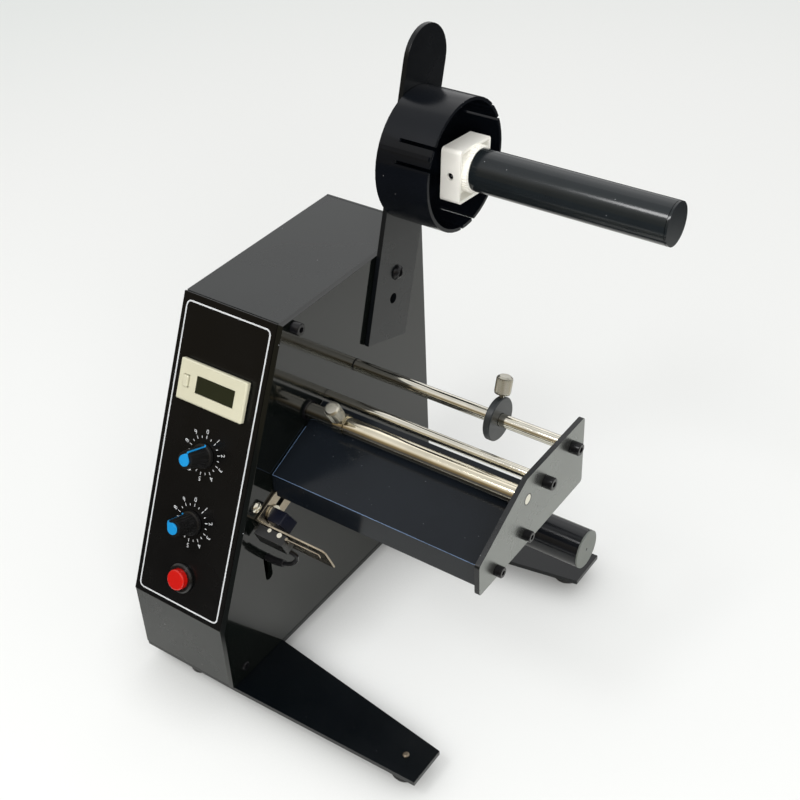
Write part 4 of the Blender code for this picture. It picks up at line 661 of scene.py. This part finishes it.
def makeDial(name, knob):    # ticks round a knob, with a digit at every second one
    v = dialMarks
    centre = onPanel @ middleOf(knob)
    bm = bmesh.new()
    for step in range(v["ticks"]):
        turn = Matrix.Rotation(-step * 2 * pi / v["ticks"], 4, "Z")
        near, far = v["shortTick"] if step % 2 else v["longTick"]
        size = (v["tickWidth"] * mm, (far - near) * mm, v["thickness"] * mm)
        addBox(bm, size, turn @ Matrix.Translation((0, (near + far) / 2 * mm, 0)))
        if step % 2 == 0:
            digit = digitMesh(str(step // 2), v["digitHeight"])
            digit.transform(turn @ Matrix.Translation((0, v["digitRadius"] * mm, 0)))
            bm.from_mesh(digit)
    place = panel @ Matrix.Translation((centre.x, centre.y, v["lift"] * mm))
    addPiece(name, bm, "whitePrint", "frame", place)


knobLine = {
    "turn": {"upper_knob": -14.0, "lower_knob": 58.0},
    "profile": [(15.75, 4.5), (15.72, 5.22), (2.4, 6.28), (2.25, 7.3)],    # height, radius
    "width": 1.3, "lowWidth": 0.9, "proud": 0.08,
}


def makeKnobLine(name, knob, body):     # blue pointer that runs from the cap down the knob's side
    v = knobLine
    centre = onPanel @ middleOf(knob)
    bm = bmesh.new()
    count = len(v["profile"])
    rows = []
    for i, (height, radius) in enumerate(v["profile"]):
        half = (v["width"] + (v["lowWidth"] - v["width"]) * i / (count - 1)) / 2
        row = []
        for lift in (v["proud"], -v["proud"]):
            for side in (-half, half):
                row.append(bm.verts.new((side * mm, (radius + lift) * mm, (height + lift / 2) * mm)))
        rows.append(row)
    for a, b in zip(rows, rows[1:]):
        for i, j in ((0, 1), (1, 3), (3, 2), (2, 0)):
            bm.faces.new((a[i], a[j], b[j], b[i]))
    for row in (rows[0], rows[-1]):
        bm.faces.new((row[0], row[1], row[3], row[2]))
    bmesh.ops.recalc_face_normals(bm, faces=bm.faces)
    turn = Matrix.Rotation(radians(v["turn"][knob]), 4, "Z")
    place = panel @ Matrix.Translation((centre.x, centre.y, 0)) @ turn
    addPiece(name, bm, "blueInlay", body, place)


counterTrim = {
    "face": 4.0, "lineWidth": 0.4, "height": 0.04, "frame": (42.6, 14.4), "frameUp": -1.2, "corner": 1.0,
    "screenRim": (28.1, 10.4), "screenAcross": 3.1, "rimWidth": 0.4, "rimHeight": 0.25,
    "digitHeight": 6.0, "digitAcross": 11.0, "digitFace": 4.0,
}


def makeCounterTrim():    # a dark line round the case's face as painted shade of its groove, the screen's rim and a digit that is off
    v = counterTrim
    centre = onPanel @ middleOf("counter_case")
    place = panel @ Matrix.Translation((centre.x, centre.y, v["face"] * mm))
    wide, tall = (size * mm for size in v["frame"])
    line = v["lineWidth"] * mm
    inner = roundedOutline(wide - 2 * line, tall - 2 * line, v["corner"] * mm - line)
    bm = bmesh.new()
    ringFaces(bm, roundedOutline(wide, tall, v["corner"] * mm), inner, v["height"] * mm)
    up = Matrix.Translation((0, v["frameUp"] * mm, 0))
    addPiece("counterGrooveShade", bm, "grooveShade", "frame", place @ up)
    wide, tall = (size * mm for size in v["screenRim"])
    rim = v["rimWidth"] * mm
    inner = roundedOutline(wide - 2 * rim, tall - 2 * rim, rim / 2)
    bm = bmesh.new()
    ringFaces(bm, roundedOutline(wide, tall, rim), inner, v["rimHeight"] * mm)
    across = Matrix.Translation((v["screenAcross"] * mm, 0, -v["rimHeight"] / 2 * mm))
    addPiece("counterScreenRim", bm, "creamCase", "frame", place @ across)
    bm = bmesh.new()
    bm.from_mesh(digitMesh("0", v["digitHeight"]))
    window = onPanel @ middleOf("counter_window")
    spot = (window.x + v["digitAcross"] * mm, window.y, v["digitFace"] * mm)
    addPiece("counterDigit", bm, "faintDigit", "frame", panel @ Matrix.Translation(spot))


makePanelLine()
makeDial("upperDialMarks", "upper_knob")
makeDial("lowerDialMarks", "lower_knob")
makeKnobLine("upperKnobLine", "upper_knob", "upper_dial")
makeKnobLine("lowerKnobLine", "lower_knob", "lower_dial")
makeCounterTrim()
print("panel pieces ready")

thumbKnurl = {"around": 44, "rows": 13, "radius": 4.42, "depth": 0.32, "bottom": 0.5, "top": 9.3}
thumbAxes = {    # the piece that the screw stands on, its body, its tilt, and where its head starts
    "collarKnurl": {"base": "roller_collar", "body": "collar_screw", "tilt": 28.0, "start": 8.2},
    "discKnurl": {"base": "guide_disc", "body": "disc_screw", "tilt": -18.0, "start": 15.0},
}


def makeKnurl(name, values):     # crossed knurling round a thumbscrew's head
    v = thumbKnurl
    bm = bmesh.new()
    rows = []
    for j in range(v["rows"]):
        level = v["bottom"] + (v["top"] - v["bottom"]) * j / (v["rows"] - 1)
        ends = j in (0, v["rows"] - 1)
        row = []
        for i in range(v["around"]):
            radius = v["radius"] + (0 if ends or (i + j) % 2 else v["depth"])
            turn = 2 * pi * i / v["around"]
            row.append(bm.verts.new((radius * cos(turn) * mm, radius * sin(turn) * mm,
                                     (values["start"] + level) * mm)))
        rows.append(row)
    for low, high in zip(rows, rows[1:]):
        for i in range(v["around"]):
            k = (i + 1) % v["around"]
            bm.faces.new((low[i], low[k], high[k], high[i]))
    bm.faces.new(rows[0][::-1])
    bm.faces.new(rows[-1])
    bmesh.ops.triangulate(bm, faces=bm.faces)
    tilt = Matrix.Rotation(radians(values["tilt"]), 4, "X")
    place = Matrix.Translation(middleOf(values["base"])) @ tilt
    addPiece(name, bm, "brightZinc", values["body"], place)


setScrewShade = {
    "radius": 1.75, "inner": 0.3, "height": 0.2, "deep": 1.5,
    "half": 15.5, "across": 37.45, "lean": -5.0,    # the block's half height, place and lean
}


def makeSetScrewShade():      # the set screw's end down in its hole, made near-black partly as painted shade of the hole
    v = setScrewShade
    bm = bmesh.new()
    turnRing(bm, v["radius"] * mm, v["inner"] * mm, v["height"] * mm)
    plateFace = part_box("side_plate")[1].x
    middle = middleOf("hub_block")
    block = Matrix.Translation((plateFace + v["across"] * mm, middle.y, middle.z))
    lean = Matrix.Rotation(radians(v["lean"]), 4, "X")
    out = Matrix.Translation((0, (v["deep"] - v["half"]) * mm, 0)) @ Matrix.Rotation(pi / 2, 4, "X")
    addPiece("setScrewShade", bm, "screwBlack", "reel", block @ lean @ out)


blockRibs = {
    "count": 44, "radius": 13.2, "proud": 0.3, "width": 0.7,
    "from": 37.9, "to": 46.6, "tubeStart": 47.2,    # mm out from the plate
}


def makeBlockRibs():     # ribs round the collar that the tube is pushed on
    v = blockRibs
    bm = bmesh.new()
    size = ((v["to"] - v["from"]) * mm, v["width"] * mm, 2 * v["proud"] * mm)
    for i in range(v["count"]):
        turn = Matrix.Rotation(2 * pi * i / v["count"], 4, "X")
        addBox(bm, size, turn @ Matrix.Translation((0, 0, v["radius"] * mm)))
    hub = middleOf("reel_tube")
    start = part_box("reel_tube")[0].x - (v["tubeStart"] - (v["from"] + v["to"]) / 2) * mm
    addPiece("blockRibs", bm, "whiteBlock", "reel", Matrix.Translation((start, hub.y, hub.z)))


shelfHighlight = {
    "width": 0.3, "thickness": 0.075, "slope": 22.1, "inset": 0.1, "lift": 0.3,
    "leftLength": 34.0, "leftStart": 0.7,    # a little clear of the front line
}


def makeShelfHighlight():     # painted highlight: a bright strip standing in for the light caught on the shelf's front and left edges
    v = shelfHighlight
    low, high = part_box("peel_shelf")
    rise = radians(v["slope"])
    frontZ = high.z - (high.y - low.y) * sin(rise) / cos(rise)
    along = Vector((0, cos(rise), sin(rise)))
    out = Vector((0, -sin(rise), cos(rise)))
    turn = Matrix((Vector((1, 0, 0)), along, out)).transposed().to_4x4()
    corner = Matrix.Translation((low.x, low.y, frontZ)) @ turn
    wide, thick, inset, lift = (v[key] * mm for key in ("width", "thickness", "inset", "lift"))
    bm = bmesh.new()
    front = Matrix.Translation(((high.x - low.x) / 2, inset + wide / 2, lift))
    addBox(bm, (high.x - low.x - 2 * inset, wide, thick), corner @ front)
    leftMiddle = (v["leftStart"] + v["leftLength"] / 2) * mm
    left = Matrix.Translation((inset + wide / 2, leftMiddle, lift))
    addBox(bm, (wide, v["leftLength"] * mm, thick), corner @ left)
    addPiece("shelfEdgeHighlight", bm, "highlightBlue", "frame")


rodJointShades = {    # painted shade: a dark ring where a rod meets a plate's outer face
    "guideRodShade": {"rod": "guide_rod", "plate": "side_plate", "radius": 3.85, "bore": 3.72,
                     "thickness": 0.45, "from": 0.05},
    "axleEndShade": {"rod": "roller_axle", "plate": "outer_plate", "radius": 3.4, "bore": 2.89,
                    "thickness": 0.05, "from": 0.0},
}


def makeRodJointShade(name, v):
    bm = bmesh.new()
    turnRing(bm, v["radius"] * mm, v["bore"] * mm, v["thickness"] * mm)
    rod = middleOf(v["rod"])
    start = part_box(v["plate"])[1].x + v["from"] * mm
    place = Matrix.Translation((start, rod.y, rod.z)) @ Matrix.Rotation(pi / 2, 4, "Y")
    addPiece(name, bm, "screwBlack", "frame", place)


spindleDimpleShade = {"radius": 0.9, "proud": 0.12, "around": 20, "rings": 10}


def makeSpindleDimpleShade():    # near-black dot in the middle of the spindle's end, painted shade of its moulded dimple
    v = spindleDimpleShade
    size = v["radius"] * mm
    turns = [2 * pi * i / v["around"] for i in range(v["around"])]
    bm = bmesh.new()
    rows = []
    for slope in (pi * k / v["rings"] for k in range(1, v["rings"])):
        radius, level = size * sin(slope), size * cos(slope)
        rows.append([bm.verts.new((radius * cos(turn), radius * sin(turn), level)) for turn in turns])
    top, bottom = bm.verts.new((0, 0, size)), bm.verts.new((0, 0, -size))
    for i in range(v["around"]):
        j = (i + 1) % v["around"]
        bm.faces.new((top, rows[0][i], rows[0][j]))
        bm.faces.new((bottom, rows[-1][j], rows[-1][i]))
        for upper, lower in zip(rows, rows[1:]):
            bm.faces.new((upper[i], lower[i], lower[j], upper[j]))
    flat = Matrix.Diagonal((v["proud"] / v["radius"], 1, 1, 1))
    middle = middleOf("spindle_cap")
    place = Matrix.Translation((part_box("spindle_cap")[1].x, middle.y, middle.z)) @ flat
    addPiece("spindleDimpleShade", bm, "screwBlack", "spindle", place)


sensorStrip = {"tilt": 22.6, "corner": (-81.9, 119.2)}    # its slope, and its top corner's Y and Z


def sensorPlace():   # frame at the strip's top corner: X out, Y along the strip, Z up across it
    y, z = sensorStrip["corner"]
    turn = Matrix.Rotation(radians(sensorStrip["tilt"]), 4, "X")
    return Matrix.Translation((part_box("side_plate")[1].x, y * mm, z * mm)) @ turn


# Under the clamp's knob: how far out from the plate, along the strip and across it
clampWasher = {"radius": 5.0, "thickness": 0.95, "bore": 2.2, "place": (1.75, 11.0, -9.3)}


def makeClampWasher():
    v = clampWasher
    bm = bmesh.new()
    turnRing(bm, v["radius"] * mm, v["bore"] * mm, v["thickness"] * mm)
    middle = sensorPlace() @ Vector([value * mm for value in v["place"]])
    place = Matrix.Translation(middle) @ Matrix.Rotation(pi / 2, 4, "Y")
    addPiece("clampWasher", bm, "headZinc", "clamp", place)


# Place of each head on the micro switch's top, in the strip's frame: across, along, up
switchScrews = {
    "crossHead": {"place": (19.2, -1.9, -0.9), "radius": 1.5, "height": 0.9},
    "flatHead": {"place": (11.8, -1.6, -0.9), "radius": 1.2, "height": 0.4},
    "slotWidth": 0.45, "slotDepth": 0.12, "slotLength": 1.3, "bore": 0.3,    # the last two in radii
    "slotTurns": (25, 115),
}


def makeSwitchScrews():  # two small heads on the micro switch
    v = switchScrews
    bm = bmesh.new()
    for name in ("crossHead", "flatHead"):
        head = v[name]
        radius, height = head["radius"] * mm, head["height"] * mm
        place = Matrix.Translation([value * mm for value in head["place"]])
        turnRing(bm, radius, v["bore"] * radius, height, place=place)
        size = (v["slotLength"] * radius, v["slotWidth"] * mm, v["slotDepth"] * mm)
        lift = Matrix.Translation((0, 0, height - v["slotDepth"] * mm))
        for turn in v["slotTurns"]:
            addBox(bm, size, place @ lift @ Matrix.Rotation(radians(turn), 4, "Z"))
    addPiece("switchScrews", bm, "headZinc", "sensor", sensorPlace())


for knurlName, knurlValues in thumbAxes.items():
    makeKnurl(knurlName, knurlValues)
makeBlockRibs()
makeSetScrewShade()
makeShelfHighlight()
for shadeName, shadeValues in rodJointShades.items():
    makeRodJointShade(shadeName, shadeValues)
makeSpindleDimpleShade()
makeClampWasher()
makeSwitchScrews()
print("working side pieces ready")
